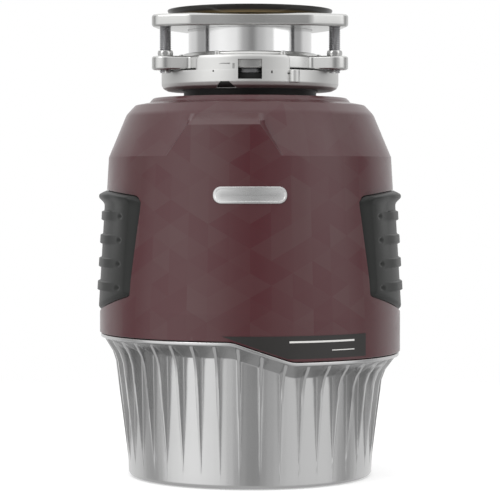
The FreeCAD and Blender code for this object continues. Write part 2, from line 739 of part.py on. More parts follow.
def turntable():
    body = new_body("turntable")
    top = "table_low + table_sheet"
    bore = "journal_radius - 0.9"
    turned(body, [
        (bore, "table_low"),
        ("table_radius", "table_low"),
        ("table_radius", top),
        ("14", top),
        ("12.5", f"{top} + 1.6"),
        (bore, f"{top} + 1.6"),
    ])
    paddle = new_sketch(body, "XY_Plane", "table_low", turn="45")
    draw(paddle, [("36", "-1.4"), ("table_radius - 4", "-1.4"),
                  ("table_radius - 4", "1.4"), ("36", "1.4")])
    blade = raised(body, paddle, "9", other_way=True)
    drain = new_sketch(body, "XY_Plane", "table_low - 1", turn="90")
    draw_circle(drain, "pivot_reach + 8", 0, "2.6")
    hole = cut_out(body, drain, "table_sheet + 3")
    repeat(body, [blade, hole], 4)
    rivet = new_sketch(body, "XY_Plane", "table_low - 1")
    draw_circle(rivet, "pivot_reach", 0, "pivot_radius + 0.05")
    seat = cut_out(body, rivet, "table_sheet + 3")
    repeat(body, [seat], 2)


def lug_rivets():
    shank = rod("lug_rivet_shank", "pivot_reach", 0, "table_low", "pivot_radius",
                "swivel_high + 0.4 - table_low")
    head = rod("lug_rivet_head", "pivot_reach", 0, "swivel_high + 0.3", "pivot_radius + 2.2", "1.8")
    foot = rod("lug_rivet_foot", "pivot_reach", 0, "table_low - 1.6", "pivot_radius + 1.6", "1.6")
    rivet = boolean("Fuse", "lug_rivet", shank, head, foot)
    keep(around("lug_rivets", rivet, 2), "lug_rivets")


def swivel_lug(label, side):
    """A cranked impeller that swings freely on its rivet. Side is 1 or -1 along X."""
    body = new_body(label)
    sketch = new_sketch(body, "XY_Plane", "swivel_low")
    out = f"{side} * pivot_reach"
    draw(sketch, [
        (f"{out} - {side} * 12", "-7"),
        (f"{out} + {side} * 8", "-9"),
        (f"{out} + {side} * 27", "-6"),
        (f"{out} + {side} * 27.5", "5"),
        (f"{out} + {side} * 9", "10"),
        (f"{out} - {side} * 10", "9"),
    ])
    raised(body, sketch, "swivel_high - swivel_low")
    toe = new_sketch(body, "XY_Plane", "swivel_high - 0.1")
    draw(toe, [
        (f"{out} + {side} * 12", "-8"),
        (f"{out} + {side} * 27", "-6"),
        (f"{out} + {side} * 27.5", "5"),
        (f"{out} + {side} * 12", "8.5"),
    ])
    raised(body, toe, "5.6")
    hole = new_sketch(body, "XY_Plane", "swivel_low - 1")
    draw_circle(hole, out, 0, "pivot_radius + running_gap")
    cut_out(body, hole, "swivel_high - swivel_low + 2")


def turntable_nut():
    blank = doc.addObject("Part::Prism", "turntable_nut_blank")
    bind(blank, "Circumradius", "11")
    bind(blank, "Height", "5")
    bind(blank, "Placement.Base.z", "table_low + table_sheet + 1.6")
    hole = rod("turntable_nut_hole", 0, 0, "table_low", "journal_radius - 0.9", "20")
    keep(boolean("Cut", "turntable_nut_cut", blank, hole), "turntable_nut")


# ---- drain housing, the motor's upper end frame ----

def drain_housing():
    body = new_body("drain_housing")
    turned(body, [
        ("bush_radius", "drain_under - 12"),
        ("15.5", "drain_under - 12"),
        ("15.5", "drain_under"),
        ("stator_radius - frame_skin", "drain_under"),
        ("stator_radius - frame_skin", "stator_high"),
        ("stator_radius", "stator_high"),
        ("stator_radius", "drain_under"),
        ("drain_wall", "drain_under"),
        ("drain_wall", "drain_top - 2.2"),
        ("flange_radius", "drain_top - 2.2"),
        ("flange_radius", "drain_top"),
        ("bush_radius", "drain_top"),
    ])
    boss = new_sketch(body, "XY_Plane", "drain_under - 9", turn="45")
    draw_circle(boss, "bolt_circle", 0, "6")
    repeat(body, [raised(body, boss, "9.1")], 4)
    hole = new_sketch(body, "XY_Plane", "drain_under - 10", turn="45")
    draw_circle(hole, "bolt_circle", 0, "motor_bolt")
    repeat(body, [cut_out(body, hole, "12.6")], 4)
    tube = new_sketch(body, lift="6 - drain_wall")
    draw_circle(tube, 0, "outlet_height", "outlet_radius")
    raised(body, tube, "outlet_face - drain_wall + 6", other_way=True)
    plate = new_sketch(body, lift="outlet_plate - outlet_face")
    draw(plate, flange_corners("0"))
    raised(body, plate, "outlet_plate", other_way=True)
    turned(body, [
        ("15.5", "drain_floor + 1"),
        ("drain_wall - 4.5", "drain_floor"),
        ("drain_wall - 4.5", "grind_low"),
        ("grind_outside + 0.1", "grind_low"),
        ("grind_outside + 0.1", "drain_top + 1"),
        ("bush_radius - 1", "drain_top + 1"),
        ("bush_radius - 1", "drain_floor + 12"),
        ("15.5", "drain_floor + 12"),
    ], cut=True)
    bore = new_sketch(body, lift="12 - drain_wall")
    draw_circle(bore, 0, "outlet_height", "outlet_bore")
    cut_out(body, bore, "outlet_face - drain_wall + 13", other_way=True)
    for side in ("-", ""):
        screw = new_sketch(body, lift="outlet_plate + 0.5 - outlet_face")
        draw_circle(screw, f"{side}outlet_half", "outlet_height", "tapped_hole")
        cut_out(body, screw, "outlet_plate + 1", other_way=True)


def flange_corners(grow):
    """The outline of the outlet's two-hole flange, seen from the back."""
    ear, neck = f"(outlet_ear + {grow})", f"(outlet_radius * 0.62 + {grow})"
    east, tall = f"(outlet_half + {grow})", f"(outlet_radius + 1.5 + {grow})"
    tip = f"({east} + outlet_ear * 0.6)"
    return [
        (f"-{tip}", f"outlet_height - {ear} * 0.5"),
        (f"-{east}", f"outlet_height - {ear}"),
        (f"-{neck}", f"outlet_height - {tall}"),
        (neck, f"outlet_height - {tall}"),
        (east, f"outlet_height - {ear}"),
        (tip, f"outlet_height - {ear} * 0.5"),
        (tip, f"outlet_height + {ear} * 0.5"),
        (east, f"outlet_height + {ear}"),
        (neck, f"outlet_height + {tall}"),
        (f"-{neck}", f"outlet_height + {tall}"),
        (f"-{east}", f"outlet_height + {ear}"),
        (f"-{tip}", f"outlet_height + {ear} * 0.5"),
    ]


# ---- motor ----

def shaft_parts():
    body = new_body("rotor_shaft")
    turned(body, [
        (0, "shaft_foot"),
        ("journal_radius", "shaft_foot"),
        ("journal_radius", "frame_low + 17.5"),
        ("shaft_radius", "frame_low + 17.5"),
        ("shaft_radius", "drain_under - 13"),
        ("journal_radius", "drain_under - 13"),
        ("journal_radius", "table_low"),
        ("journal_radius - 0.9", "table_low"),
        ("journal_radius - 0.9", "shaft_tip - 1"),
        ("journal_radius - 1.9", "shaft_tip"),
        (0, "shaft_tip"),
    ])
    socket = new_sketch(body, "XY_Plane", "shaft_foot - 1")
    flat, point = "hex_size / 2", "hex_size / sqrt(3)"
    draw(socket, [
        (point, 0), (f"{point} / 2", flat), (f"-{point} / 2", flat),
        (f"-{point}", 0), (f"-{point} / 2", f"-{flat}"), (f"{point} / 2", f"-{flat}"),
    ])
    cut_out(body, socket, "13")
    journal = "journal_radius + running_gap"
    ring("upper_bearing", journal, "bush_radius", "drain_under - 12", "drain_floor + 8")
    ring("shaft_seal", journal, "bush_radius", "drain_floor + 8", "drain_floor + 12")
    ring("lower_bearing", journal, "bush_radius", "frame_low + 1.5", "frame_low + 15")
    ring("thrust_washer", "journal_radius + 0.3", "13", "frame_low + 16.3", "frame_low + 17.4")
    ring("water_slinger", "journal_radius", "16", "drain_floor + 14", "drain_floor + 17")


def rotor_parts():
    body = ring("rotor_core", "shaft_radius", "rotor_radius", "stator_low", "stator_high")
    vent = new_sketch(body, "XY_Plane", "stator_low - 1")
    draw_circle(vent, 19, 0, 4)
    repeat(body, [cut_out(body, vent, "stator_high - stator_low + 2")], 6)
    rings = []
    for low, step in (("stator_high", "1"), ("stator_low - 6", "-1")):
        cast = lathe("rotor_ring", [(29, low), ("rotor_radius - 0.6", low),
                                    ("rotor_radius - 0.6", f"{low} + 6"), (29, f"{low} + 6")])
        vane = new_sketch(cast, "XY_Plane", f"{low} + 3 + 3 * {step}")
        draw(vane, [(31, -1.2), ("rotor_radius - 2", -1.2), ("rotor_radius - 2", 1.2), (31, 1.2)])
        fin = raised(cast, vane, "3.5", other_way=step == "-1")
        repeat(cast, [fin], 9)
        rings.append(cast)
    both = doc.addObject("Part::Compound", "rotor_end_rings")
    both.Links = rings
    keep(both, "rotor_end_rings")


def stator_parts():
    body = ring("stator_core", "stator_bore", "stator_radius", "stator_low", "stator_high")
    slot = new_sketch(body, "XY_Plane", "stator_low - 1")
    half = "slot_width / 2"
    draw(slot, [
        ("stator_bore - 1", "-1.2"), ("stator_bore + 2", "-1.2"), ("stator_bore + 2.5", f"-{half}"),
        ("stator_bore + slot_depth", f"-{half}"), ("stator_bore + slot_depth", half),
        ("stator_bore + 2.5", half), ("stator_bore + 2", "1.2"), ("stator_bore - 1", "1.2"),
    ])
    repeat(body, [cut_out(body, slot, "stator_high - stator_low + 2")], "slot_count")

    coil = new_body("stator_windings")
    side = "slot_width / 2 - 0.3"
    turned(coil, [
        ("winding_in + 1.5", "stator_low - winding_over"),
        ("winding_out - 2", "stator_low - winding_over"),
        ("winding_out", "stator_low - winding_over + 3"),
        ("winding_out", "stator_low - 0.5"),
        ("winding_in", "stator_low - 0.5"),
        ("winding_in", "stator_low - winding_over + 3"),
    ])
    wire = new_sketch(coil, "XY_Plane", "stator_low - 1")
    draw(wire, [("winding_in + 0.2", f"-({side})"), ("winding_out - 0.2", f"-({side})"),
                ("winding_out - 0.2", side), ("winding_in + 0.2", side)])
    bar = raised(coil, wire, "stator_high - stator_low + 2")
    repeat(coil, [bar], "slot_count")
    turned(coil, [
        ("winding_in", "stator_high + 0.5"),
        ("winding_out", "stator_high + 0.5"),
        ("winding_out", "stator_high + winding_over - 3"),
        ("winding_out - 2", "stator_high + winding_over"),
        ("winding_in + 1.5", "stator_high + winding_over"),
        ("winding_in", "stator_high + winding_over - 3"),
    ])


def lower_end_frame():
    body = new_body("lower_end_frame")
    turned(body, [
        ("bush_radius", "frame_low"),
        ("stator_radius", "frame_low"),
        ("stator_radius", "stator_low"),
        ("stator_radius - frame_skin", "stator_low"),
        ("stator_radius - frame_skin", "frame_low + frame_skin"),
        ("16", "frame_low + frame_skin"),
        ("16", "frame_low + 16"),
        ("bush_radius", "frame_low + 16"),
    ])
    boss = new_sketch(body, "XY_Plane", "frame_low", turn="45")
    draw_circle(boss, "bolt_circle", 0, "6")
    repeat(body, [raised(body, boss, "stator_low - frame_low")], 4)
    foot = new_sketch(body, "XY_Plane", "frame_low + 1")
    draw_circle(foot, "post_reach - 2", 0, "5.2")
    repeat(body, [raised(body, foot, "11")], 4)
    for turn, reach, radius in (("45", "bolt_circle", "motor_bolt + 0.1"),
                                ("0", "post_reach", "base_screw")):
        hole = new_sketch(body, "XY_Plane", "frame_low - 1", turn=turn)
        draw_circle(hole, reach, 0, radius)
        depth = "stator_low - frame_low + 2" if turn == "45" else "10"
        repeat(body, [cut_out(body, hole, depth)], 4)
    leads = new_sketch(body, "XY_Plane", "frame_low - 1")
    draw(leads, [(-37, -48), (-14, -48), (-14, -40), (-37, -40)])
    cut_out(body, leads, "frame_skin + 2")


def motor_bolts():
    shank = rod("motor_bolt_shank", "bolt_circle * cos(45)", "bolt_circle * sin(45)",
                "frame_low - 0.5", "motor_bolt - 0.05", "drain_under + 1.5 - frame_low")
    head = doc.addObject("Part::Prism", "motor_bolt_head")
    for field, text in (("Circumradius", "4.6"), ("Height", "3.4"),
                        ("Placement.Base.x", "bolt_circle * cos(45)"),
                        ("Placement.Base.y", "bolt_circle * sin(45)"),
                        ("Placement.Base.z", "frame_low - 3.4")):
        bind(head, field, text)
    bolt = boolean("Fuse", "motor_bolt_blank", shank, head)
    keep(around("motor_bolts", bolt, 4), "motor_bolts")


def motor_leads():
    leads = [rod(f"lead_{i + 1}", f"-32 + {6.5 * i}", -44, "9.5", "1.6",
                 "stator_low - winding_over - 9.5") for i in range(3)]
    bundle = doc.addObject("Part::Compound", "motor_leads")
    bundle.Links = leads
    keep(bundle, "motor_leads")


# ---- finned base ----

def joint_path(drop="0", lift_to="130"):
    """The stepped joint of shroud and base seen from the front, closed above it."""
    high, low = f"part_line + part_step - {drop}", f"part_line - {drop}"
    return [(-130, high), ("step_left", high), ("step_right", low), (130, low),
            (130, lift_to), (-130, lift_to)]


def base_shell():
    body = new_body("base_body", written=False)
    wall = "(base_radius + base_draft)"
    inside = f"({wall} - base_skin)"
    turned(body, [
        (0, 0),
        ("base_radius - 1.6", 0),
        ("base_radius - 0.4", 0.6),
        ("base_radius", 2),
        (wall, 80),
        (f"{wall} + 3.4", "flare_high - 7.5"),
        ("rim_out - 2.4", "part_line + part_step - 4"),
        ("rim_out", "part_line + part_step - 3.4"),
        ("rim_out", "part_line + part_step"),
        ("rim_out - 4.5", "part_line + part_step"),
        (f"{wall} + 0.4", "flare_high - 6"),
        (inside, 80),
        ("base_radius - base_skin", "base_skin"),
        (0, "base_skin"),
    ])
    fin = new_sketch(body, turn="fin_turn")
    draw(fin, [
        ("base_radius - 1.5", "fin_foot"),
        ("base_radius + 0.35", "fin_foot"),
        ("fin_reach", "fin_top"),
        ("rim_out - 4", "part_line + part_step - 5"),
        ("base_radius + 3", "part_line + part_step - 10"),
        ("base_radius + 1", "fin_top - 5"),
    ])
    blade = raised(body, fin, "fin_sheet", both_ways=True)
    repeat(body, [blade], "fin_count")
    post = new_sketch(body, "XY_Plane", "base_skin - 0.5")
    draw_circle(post, "post_reach", 0, 5.5)
    repeat(body, [raised(body, post, "frame_low - base_skin + 0.5")], 4)
    for radius, start, depth in (("base_screw", "-1", "frame_low + 2"),
                                 ("base_screw + 2.6", "-1", "3.2")):
        hole = new_sketch(body, "XY_Plane", start)
        draw_circle(hole, "post_reach", 0, radius)
        repeat(body, [cut_out(body, hole, depth)], 4)

    for across, up, radius, depth in (
        ("0", "0", "wrench_hole", "base_skin + 2"),
        ("reset_east", "reset_north", "reset_radius + 0.4", "base_skin + 2"),
        ("conduit_reach", "0", "conduit_bore", "base_skin + 2"),
        ("ground_east", "ground_north", "2.05", "base_skin + 2"),
    ):
        hole = new_sketch(body, "XY_Plane", "-1")
        draw_circle(hole, across, up, radius)
        cut_out(body, hole, depth)
    for shrink, depth in (("-0.3", "3.2"), ("4", "base_skin + 2")):
        hole = new_sketch(body, "XY_Plane", "-1")
        draw(hole, cover_corners(shrink))
        cut_out(body, hole, depth)

    trimmed = boolean("Cut", "base_left", body, prism(
        "above_joint", joint_path(), start="-120", length="240"))
    flare = lathe("low_flare", [
        (f"{wall} - 1", "flare_high - part_step - 11"),
        (f"{wall} + 3.4", "flare_high - part_step - 7.5"),
        ("rim_out - 2.4", "part_line - 4"),
        ("rim_out", "part_line - 3.4"),
        ("rim_out", "part_line + part_step"),
        (f"{inside}", "part_line + part_step"),
        (f"{inside}", "flare_high - part_step - 11"),
    ])
    right = prism("right_of_step", [
        ("step_left", "part_line + part_step"), ("step_right", "part_line"), (130, "part_line"),
        (130, "part_line - 30"), ("step_right - 8", "part_line - 30"),
        ("step_left + 6", "part_line + part_step - 8"),
    ], start="-120", length="240")
    keep(boolean("Fuse", "base_shell_fused", trimmed,
                 boolean("Common", "low_rim", flare, right)), "base_shell")


def cover_corners(shrink):
    west, east = "(cover_west", "(cover_west + cover_width"
    south, north = "(cover_south", "(cover_south + cover_depth"
    return [(f"{west} + {shrink})", f"{south} + {shrink})"),
            (f"{east} - ({shrink}))", f"{south} + {shrink})"),
            (f"{east} - ({shrink}))", f"{north} - ({shrink}))"),
            (f"{west} + {shrink})", f"{north} - ({shrink}))")]


def base_fittings():
    shank = rod("base_screw_shank", "post_reach", 0, "2.2", "base_screw - 0.05", "frame_low + 6 - 2.2")
    head = rod("base_screw_head", "post_reach", 0, "0.4", "base_screw + 2.2", "1.8")
    slot = box("base_screw_drive", "post_reach - 0.6", "-base_screw - 3", "0.3", "1.2",
               "2 * base_screw + 6", "1")
    screw = boolean("Cut", "base_screw_blank", boolean("Fuse", "base_screw_turned", shank, head), slot)
    keep(around("base_screws", screw, 4), "base_screws")

    cover = new_body("terminal_cover")
    plate = new_sketch(cover, "XY_Plane", "1.0")
    draw(plate, cover_corners("0"))
    raised(cover, plate, "1.2")
    for side in ("2.4", "cover_width - 2.4"):
        hole = new_sketch(cover, "XY_Plane", "0")
        draw_circle(hole, f"cover_west + {side}", "cover_south + cover_depth / 2", "1.3")
        cut_out(cover, hole, "4")
    screws = []
    for side in ("2.4", "cover_width - 2.4"):
        at = (f"cover_west + {side}", "cover_south + cover_depth / 2")
        screws.append(boolean("Fuse", "cover_screw", rod("cover_screw_head", *at, "0.25", "2.2", "0.75"),
                              rod("cover_screw_shank", *at, "0.5", "1.25", "1.6")))
    pair = doc.addObject("Part::Compound", "terminal_cover_screws")
    pair.Links = screws
    keep(pair, "terminal_cover_screws")

    stem = rod("ground_screw_shank", "ground_east", "ground_north", "0.5", "2", "base_skin - 0.4")
    hexagon = doc.addObject("Part::Prism", "ground_screw_head")
    for field, text in (("Circumradius", "4.4"), ("Height", "2.6"), ("Placement.Base.x", "ground_east"),
                        ("Placement.Base.y", "ground_north"), ("Placement.Base.z", "base_skin")):
        bind(hexagon, field, text)
    keep(boolean("Fuse", "ground_screw_blank", stem, hexagon), "ground_screw")


def electrics():
    case = box("protector_case", "reset_east - 13", "reset_north - 11", "base_skin + 10", 26, 22, 16)
    well = rod("protector_well", "reset_east", "reset_north", "base_skin + 9", "reset_radius + 0.4", 11)
    foot = box("protector_foot", "reset_east - 13", "reset_north + 8", "base_skin", 26, 3, 11)
    keep(boolean("Cut", "protector_blank", boolean("Fuse", "protector_body", case, foot), well),
         "overload_protector")
    stem = rod("button_stem", "reset_east", "reset_north", "reset_low", "reset_radius",
               "base_skin + 13 - reset_low")
    collar = rod("button_collar", "reset_east", "reset_north", "base_skin + 0.3", "reset_radius + 1.6", 1.6)
    keep(boolean("Fuse", "button_blank", stem, collar), "reset_button")

    axis, along = ("capacitor_north", "capacitor_height"), (1, 0, 0)
    can = rod("capacitor_can", "-29", *axis, "capacitor_radius", 54, along)
    cap_end = rod("capacitor_end", "25", *axis, "capacitor_radius - 2", 3, along)
    tabs = box("capacitor_tabs", 28, "capacitor_north - 5", "capacitor_height - 1", 5, 10, 2)
    keep(boolean("Fuse", "capacitor_blank", can, cap_end, tabs), "start_capacitor")
    outer = rod("bracket_outer", "-6", *axis, "capacitor_radius + 1.4", 12, along)
    legs = box("bracket_legs", "-6", "capacitor_north - capacitor_radius - 1.4", "base_skin", 12,
               "2 * capacitor_radius + 2.8", "capacitor_height - base_skin")
    feet = box("bracket_feet", "-6", "capacitor_north - capacitor_radius - 9", "base_skin", 12,
               "2 * capacitor_radius + 13", 1.4)
    inner = rod("bracket_inner", "-7", *axis, "capacitor_radius", 14, along)
    space = box("bracket_space", "-7", "capacitor_north - capacitor_radius", "base_skin - 1", 14,
                "2 * capacitor_radius", "capacitor_height - base_skin + 1")
    keep(boolean("Cut", "bracket_blank", boolean("Fuse", "bracket_body", outer, legs, feet), inner, space),
         "capacitor_bracket")

    relay = box("relay_case", "-57", "-13", "base_skin", 19, 26, 21)
    blades = [box(f"relay_blade_{i + 1}", "-50", f"-9 + {6.5 * i}", "base_skin + 20.5", 1.2, 5, 5)
              for i in range(3)]
    keep(boolean("Fuse", "relay_blank", relay, *blades), "start_relay")


# ---- shroud, grips, label and badge ----

def side_at(height):
    """The shroud's outer radius at a height on its drafted side."""
    return ("(shroud_radius - (" + height + " - side_low) * (shroud_radius - side_radius)"
            " / (side_high - side_low))")


def side_band(label, low, high, inward, outward):
    """A ring that follows the shroud's drafted side."""
    return lathe(label, [
        (f"{side_at(low)} + ({inward})", low), (f"{side_at(low)} + ({outward})", low),
        (f"{side_at(high)} + ({outward})", high), (f"{side_at(high)} + ({inward})", high),
    ])


def grip_outline(grow):
    return [
        (f"-(grip_top_half + {grow})", "grip_top - 5"),
        (f"-(grip_low_half + {grow})", f"grip_corner - {grow}"),
        ("-8", f"grip_point - {grow}"), ("8", f"grip_point - {grow}"),
        (f"grip_low_half + {grow}", f"grip_corner - {grow}"),
        (f"grip_top_half + {grow}", "grip_top - 5"),
        ("24", f"grip_top + {grow}"), ("-24", f"grip_top + {grow}"),
    ]


def outer_shroud():
    skin = "shroud_sheet"
    shell = lathe("shroud_shell", [
        ("shroud_radius", "part_line"),
        ("shroud_radius", "side_low"),
        ("side_radius", "side_high"),
        ("shoulder_radius", "shoulder_top"),
        ("crown_radius", "crown_low"),
        ("cap_radius + 0.7", "cap_low"),
        ("cap_radius", "cap_low + 1.2"),
        ("cap_radius - 2.2", "cap_high"),
        ("cap_bore", "cap_high"),
        ("cap_bore", f"cap_high - {skin}"),
        ("cap_radius - 5", f"cap_high - {skin}"),
        (f"crown_radius - {skin}", f"crown_low - {skin}"),
        (f"shoulder_radius - {skin}", f"shoulder_top - {skin} * 0.6"),
        (f"side_radius - {skin}", f"side_high - {skin} * 0.3"),
        (f"shroud_radius - {skin}", "side_low"),
        (f"shroud_radius - {skin}", "part_line"),
    ])
    band = lathe("shield_band", [
        ("side_radius", "side_high - 1"),
        ("shield_radius", "shield_top"),
        ("shoulder_radius - 1", "shield_top"),
        ("side_radius - 2.5", "side_high - 1"),
    ])
    face = prism("shield_face", [
        ("shield_left", "side_high"), ("shield_right", "side_high"),
        ("shield_in_right", "shield_top"), ("shield_in_left", "shield_top"),
    ], length="120")
    body = boolean("Fuse", "shroud_with_shield", shell, boolean("Common", "shield", band, face))
    below = prism("below_joint", [
        (-130, "part_line + part_step"), ("step_left", "part_line + part_step"),
        ("step_right", "part_line"), ("step_right", "part_line - 9"), (-130, "part_line - 9"),
    ], start="-120", length="240")
    seat = side_band("grip_seat", "grip_point - 2", "grip_top + 2", "-grip_sunk - grip_gap", "6")
    pockets = boolean("Common", "grip_pockets", seat, prism(
        "pocket_outline", grip_outline("grip_gap"), "YZ_Plane", "-130", "260"))
    outlet = prism("outlet_opening", window_corners("0"), length="130", other_way=True)
    inlet = rod("inlet_opening", 0, 0, "inlet_height", "inlet_radius + 1.2", 130)
    turn = FreeCAD.Rotation(FreeCAD.Vector(0, 0, 1), size("inlet_turn"))
    inlet.Placement.Rotation = turn.multiply(FreeCAD.Rotation(FreeCAD.Vector(0, 1, 0), 90))
    keep(boolean("Cut", "outer_shroud_cut", body, below, pockets, outlet, inlet), "outer_shroud")


def window_corners(grow):
    east, tall = f"(outlet_half + outlet_ear + 6 + {grow})", f"(outlet_radius + 6 + {grow})"
    return [(f"-{east}", f"outlet_height - {tall} + 8"), (f"-{east} + 8", f"outlet_height - {tall}"),
            (f"{east} - 8", f"outlet_height - {tall}"), (east, f"outlet_height - {tall} + 8"),
            (east, f"outlet_height + {tall} - 8"), (f"{east} - 8", f"outlet_height + {tall}"),
            (f"-{east} + 8", f"outlet_height + {tall}"), (f"-{east}", f"outlet_height + {tall} - 8")]


def outlet_grommet():
    low, high = "outlet_height - 36", "outlet_height + 36"
    collar = lathe("grommet_ring", [
        (f"{side_at('side_low')} - 7.5", low), (f"{side_at(low)} + 1.2", low),
        (f"{side_at(high)} + 1.2", high), (f"{side_at(high)} - 7.5", high),
    ])
    frame = boolean("Common", "grommet_outline", collar,
                    prism("grommet_outer", window_corners("-0.1"), length="130", other_way=True))
    hole = prism("grommet_inner", flange_corners("0.3"), length="130", other_way=True)
    keep(boolean("Cut", "outlet_grommet_cut", frame, hole), "outlet_grommet")


def sound_insulation():
    foam = lathe("foam_ring", [("foam_in", "foam_low"), ("foam_out", "foam_low"),
                               ("foam_out - 1", "foam_high"), ("foam_in", "foam_high")])
    opening = prism("foam_opening", window_corners("3"), length="130", other_way=True)
    keep(boolean("Cut", "sound_insulation_cut", foam, opening), "sound_insulation")


def grip(label, side):
    """A rubber grip with a finger lip and four ribs. Side is 1 for the right, -1 for the left."""
    low, high = "grip_point - 1", "grip_top + 1"
    pad = lathe(label + "_pad", [
        (f"{side_at(low)} - grip_sunk", low),
        (f"{side_at(low)} + grip_proud", low),
        (f"{side_at('grip_top')} + grip_proud + 0.6", "grip_top - 11"),
        ("lip_reach", "grip_top - 6"),
        ("lip_reach", "grip_top - 3"),
        (f"{side_at('grip_top')} + 2.6", "grip_top + 1"),
        (f"{side_at(high)} - grip_sunk", high),
    ])
    start = "0" if side == 1 else "-130"
    shape = boolean("Common", label + "_face", pad,
                    prism(label + "_outline", grip_outline("0"), "YZ_Plane", start, "130"))
    ribs = []
    for i in range(4):
        middle = f"(rib_first + {i} * rib_pitch)"
        rib = side_band(f"{label}_rib_{i + 1}", f"{middle} - rib_height / 2", f"{middle} + rib_height / 2",
                        "grip_proud - 0.4", "grip_proud + rib_proud")
        half = f"rib_half - 1.5 * {3 - i}"
        ribs.append(boolean("Common", f"{label}_bar_{i + 1}", rib, box(
            f"{label}_span_{i + 1}", start, f"-({half})", "rib_first - 20", 130, f"2 * ({half})", 90)))
    keep(boolean("Fuse", label + "_fused", shape, *ribs), label)


def label_and_badge():
    band = lathe("label_ring", [
        ("shroud_radius", "label_low"),
        ("shroud_radius + label_sheet", "label_low"),
        ("shroud_radius + label_sheet", "label_high"),
        ("shroud_radius", "label_high"),
    ])
    keep(boolean("Common", "label_band_cut", band, prism("label_outline", [
        ("step_left - 6.9", "label_high"), ("step_right - 3.5", "label_low"),
        ("label_end", "label_low"), ("label_end", "label_high"),
    ])), "label_band")
    plate = side_band("badge_ring", "badge_height - 8", "badge_height + 8", "0", "badge_sheet")
    end = "badge_half - badge_end * 0.6"
    keep(boolean("Common", "badge_cut", plate, prism("badge_outline", [
        (f"-({end})", "badge_height - badge_end"), (end, "badge_height - badge_end"),
        ("badge_half", "badge_height - badge_end * 0.4"), ("badge_half", "badge_height + badge_end * 0.4"),
        (end, "badge_height + badge_end"), (f"-({end})", "badge_height + badge_end"),
        ("-badge_half", "badge_height + badge_end * 0.4"), ("-badge_half", "badge_height - badge_end * 0.4"),
    ])), "badge")


def check_and_write():
    doc.recompute()
    faulty = [o.Label for o in doc.Objects if {"Invalid", "Error"} & set(o.State)]
    if faulty:
        raise RuntimeError(f"features with errors: {', '.join(faulty)}")
    for part in parts:
        if part.Shape.isNull() or not part.Shape.isValid():
            raise RuntimeError(f"{part.Label} has no valid shape")
    os.makedirs("parts", exist_ok=True)
    for part in parts:
        part.Shape.exportStep(f"parts/{part.Label}.step")
    print(f"{len(parts)} sub-parts written")


fill_sheet()
sink_flange()
fibre_gasket()
backup_flange()
upper_mounting_ring()
backup_screws()
snap_ring()
lower_mounting_ring()
mounting_gasket()
splash_baffle()
hopper()
hopper_seal()
hopper_band()
dishwasher_inlet()
dishwasher_plug()
shredder_ring()
turntable()
lug_rivets()
swivel_lug("swivel_lug_east", 1)
swivel_lug("swivel_lug_west", -1)
turntable_nut()
drain_housing()
shaft_parts()
rotor_parts()
stator_parts()
lower_end_frame()
motor_bolts()
motor_leads()
base_shell()
base_fittings()
electrics()
outer_shroud()
outlet_grommet()
sound_insulation()
grip("right_grip", 1)
grip("left_grip", -1)
label_and_badge()
check_and_write()
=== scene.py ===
import json
import math

import bmesh
import bpy
from mathutils import Matrix, Vector


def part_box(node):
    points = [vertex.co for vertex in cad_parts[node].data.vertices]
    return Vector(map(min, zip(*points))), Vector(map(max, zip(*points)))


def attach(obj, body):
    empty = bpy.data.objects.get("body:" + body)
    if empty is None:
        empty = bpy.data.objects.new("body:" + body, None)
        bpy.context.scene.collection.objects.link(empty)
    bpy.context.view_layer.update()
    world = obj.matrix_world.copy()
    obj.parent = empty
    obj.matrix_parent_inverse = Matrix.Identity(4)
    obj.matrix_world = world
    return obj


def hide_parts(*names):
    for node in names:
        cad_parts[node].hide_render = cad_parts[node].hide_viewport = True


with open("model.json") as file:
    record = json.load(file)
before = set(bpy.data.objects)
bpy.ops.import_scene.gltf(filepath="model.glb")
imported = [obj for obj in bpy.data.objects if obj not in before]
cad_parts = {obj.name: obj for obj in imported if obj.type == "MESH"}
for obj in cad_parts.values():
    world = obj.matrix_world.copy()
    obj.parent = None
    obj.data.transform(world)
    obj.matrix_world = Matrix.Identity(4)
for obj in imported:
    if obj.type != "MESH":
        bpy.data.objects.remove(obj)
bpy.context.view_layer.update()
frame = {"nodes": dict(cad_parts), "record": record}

mm = 0.001
nodes = frame["nodes"]
print("frame loaded:", len(nodes), "nodes")


def sizeOf(node):
    # lowest and highest z, and the furthest reach along x, in millimetres
    low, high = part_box(node)
    return low.z / mm, high.z / mm, max(-low.x, high.x) / mm


def mix(a, b, t):
    return a + (b - a) * t


def easeStep(low, high, value):
    t = min(1, max(0, (value - low) / (high - low)))
    return t * t * (3 - 2 * t)


def fromFront(radius, angle, z):
    # a point round the axis, with the angle taken from the front towards the right
    return radius * math.sin(angle), -radius * math.cos(angle), z


def roundCorner(before, corner, after, radius, steps):
    toBefore, toAfter = before - corner, after - corner
    half = toBefore.angle(toAfter) / 2
    room = 0.48 * min(toBefore.length, toAfter.length)
    reach = min(radius / math.tan(half), room)
    radius = reach * math.tan(half)
    inward = (toBefore.normalized() + toAfter.normalized()).normalized()
    centre = corner + inward * (radius / math.sin(half))
    first = corner + toBefore.normalized() * reach - centre
    last = corner + toAfter.normalized() * reach - centre
    turn = first.angle_signed(last)
    points = []
    for i in range(steps + 1):
        angle = -turn * i / steps
        points.append(centre + Matrix.Rotation(angle, 2) @ first)
    return points


def softOutline(corners, steps=4):
    # corners are (across, up, radius); gives a closed run of 2D points
    flat = [Vector(c[:2]) for c in corners]
    points = []
    for i, corner in enumerate(corners):
        before, after = flat[i - 1], flat[(i + 1) % len(flat)]
        straight = (before - flat[i]).angle(after - flat[i]) > math.radians(178.5)
        if corner[2] <= 0 or straight:
            points.append(flat[i])
        else:
            points += roundCorner(before, flat[i], after, corner[2], steps)
    return points


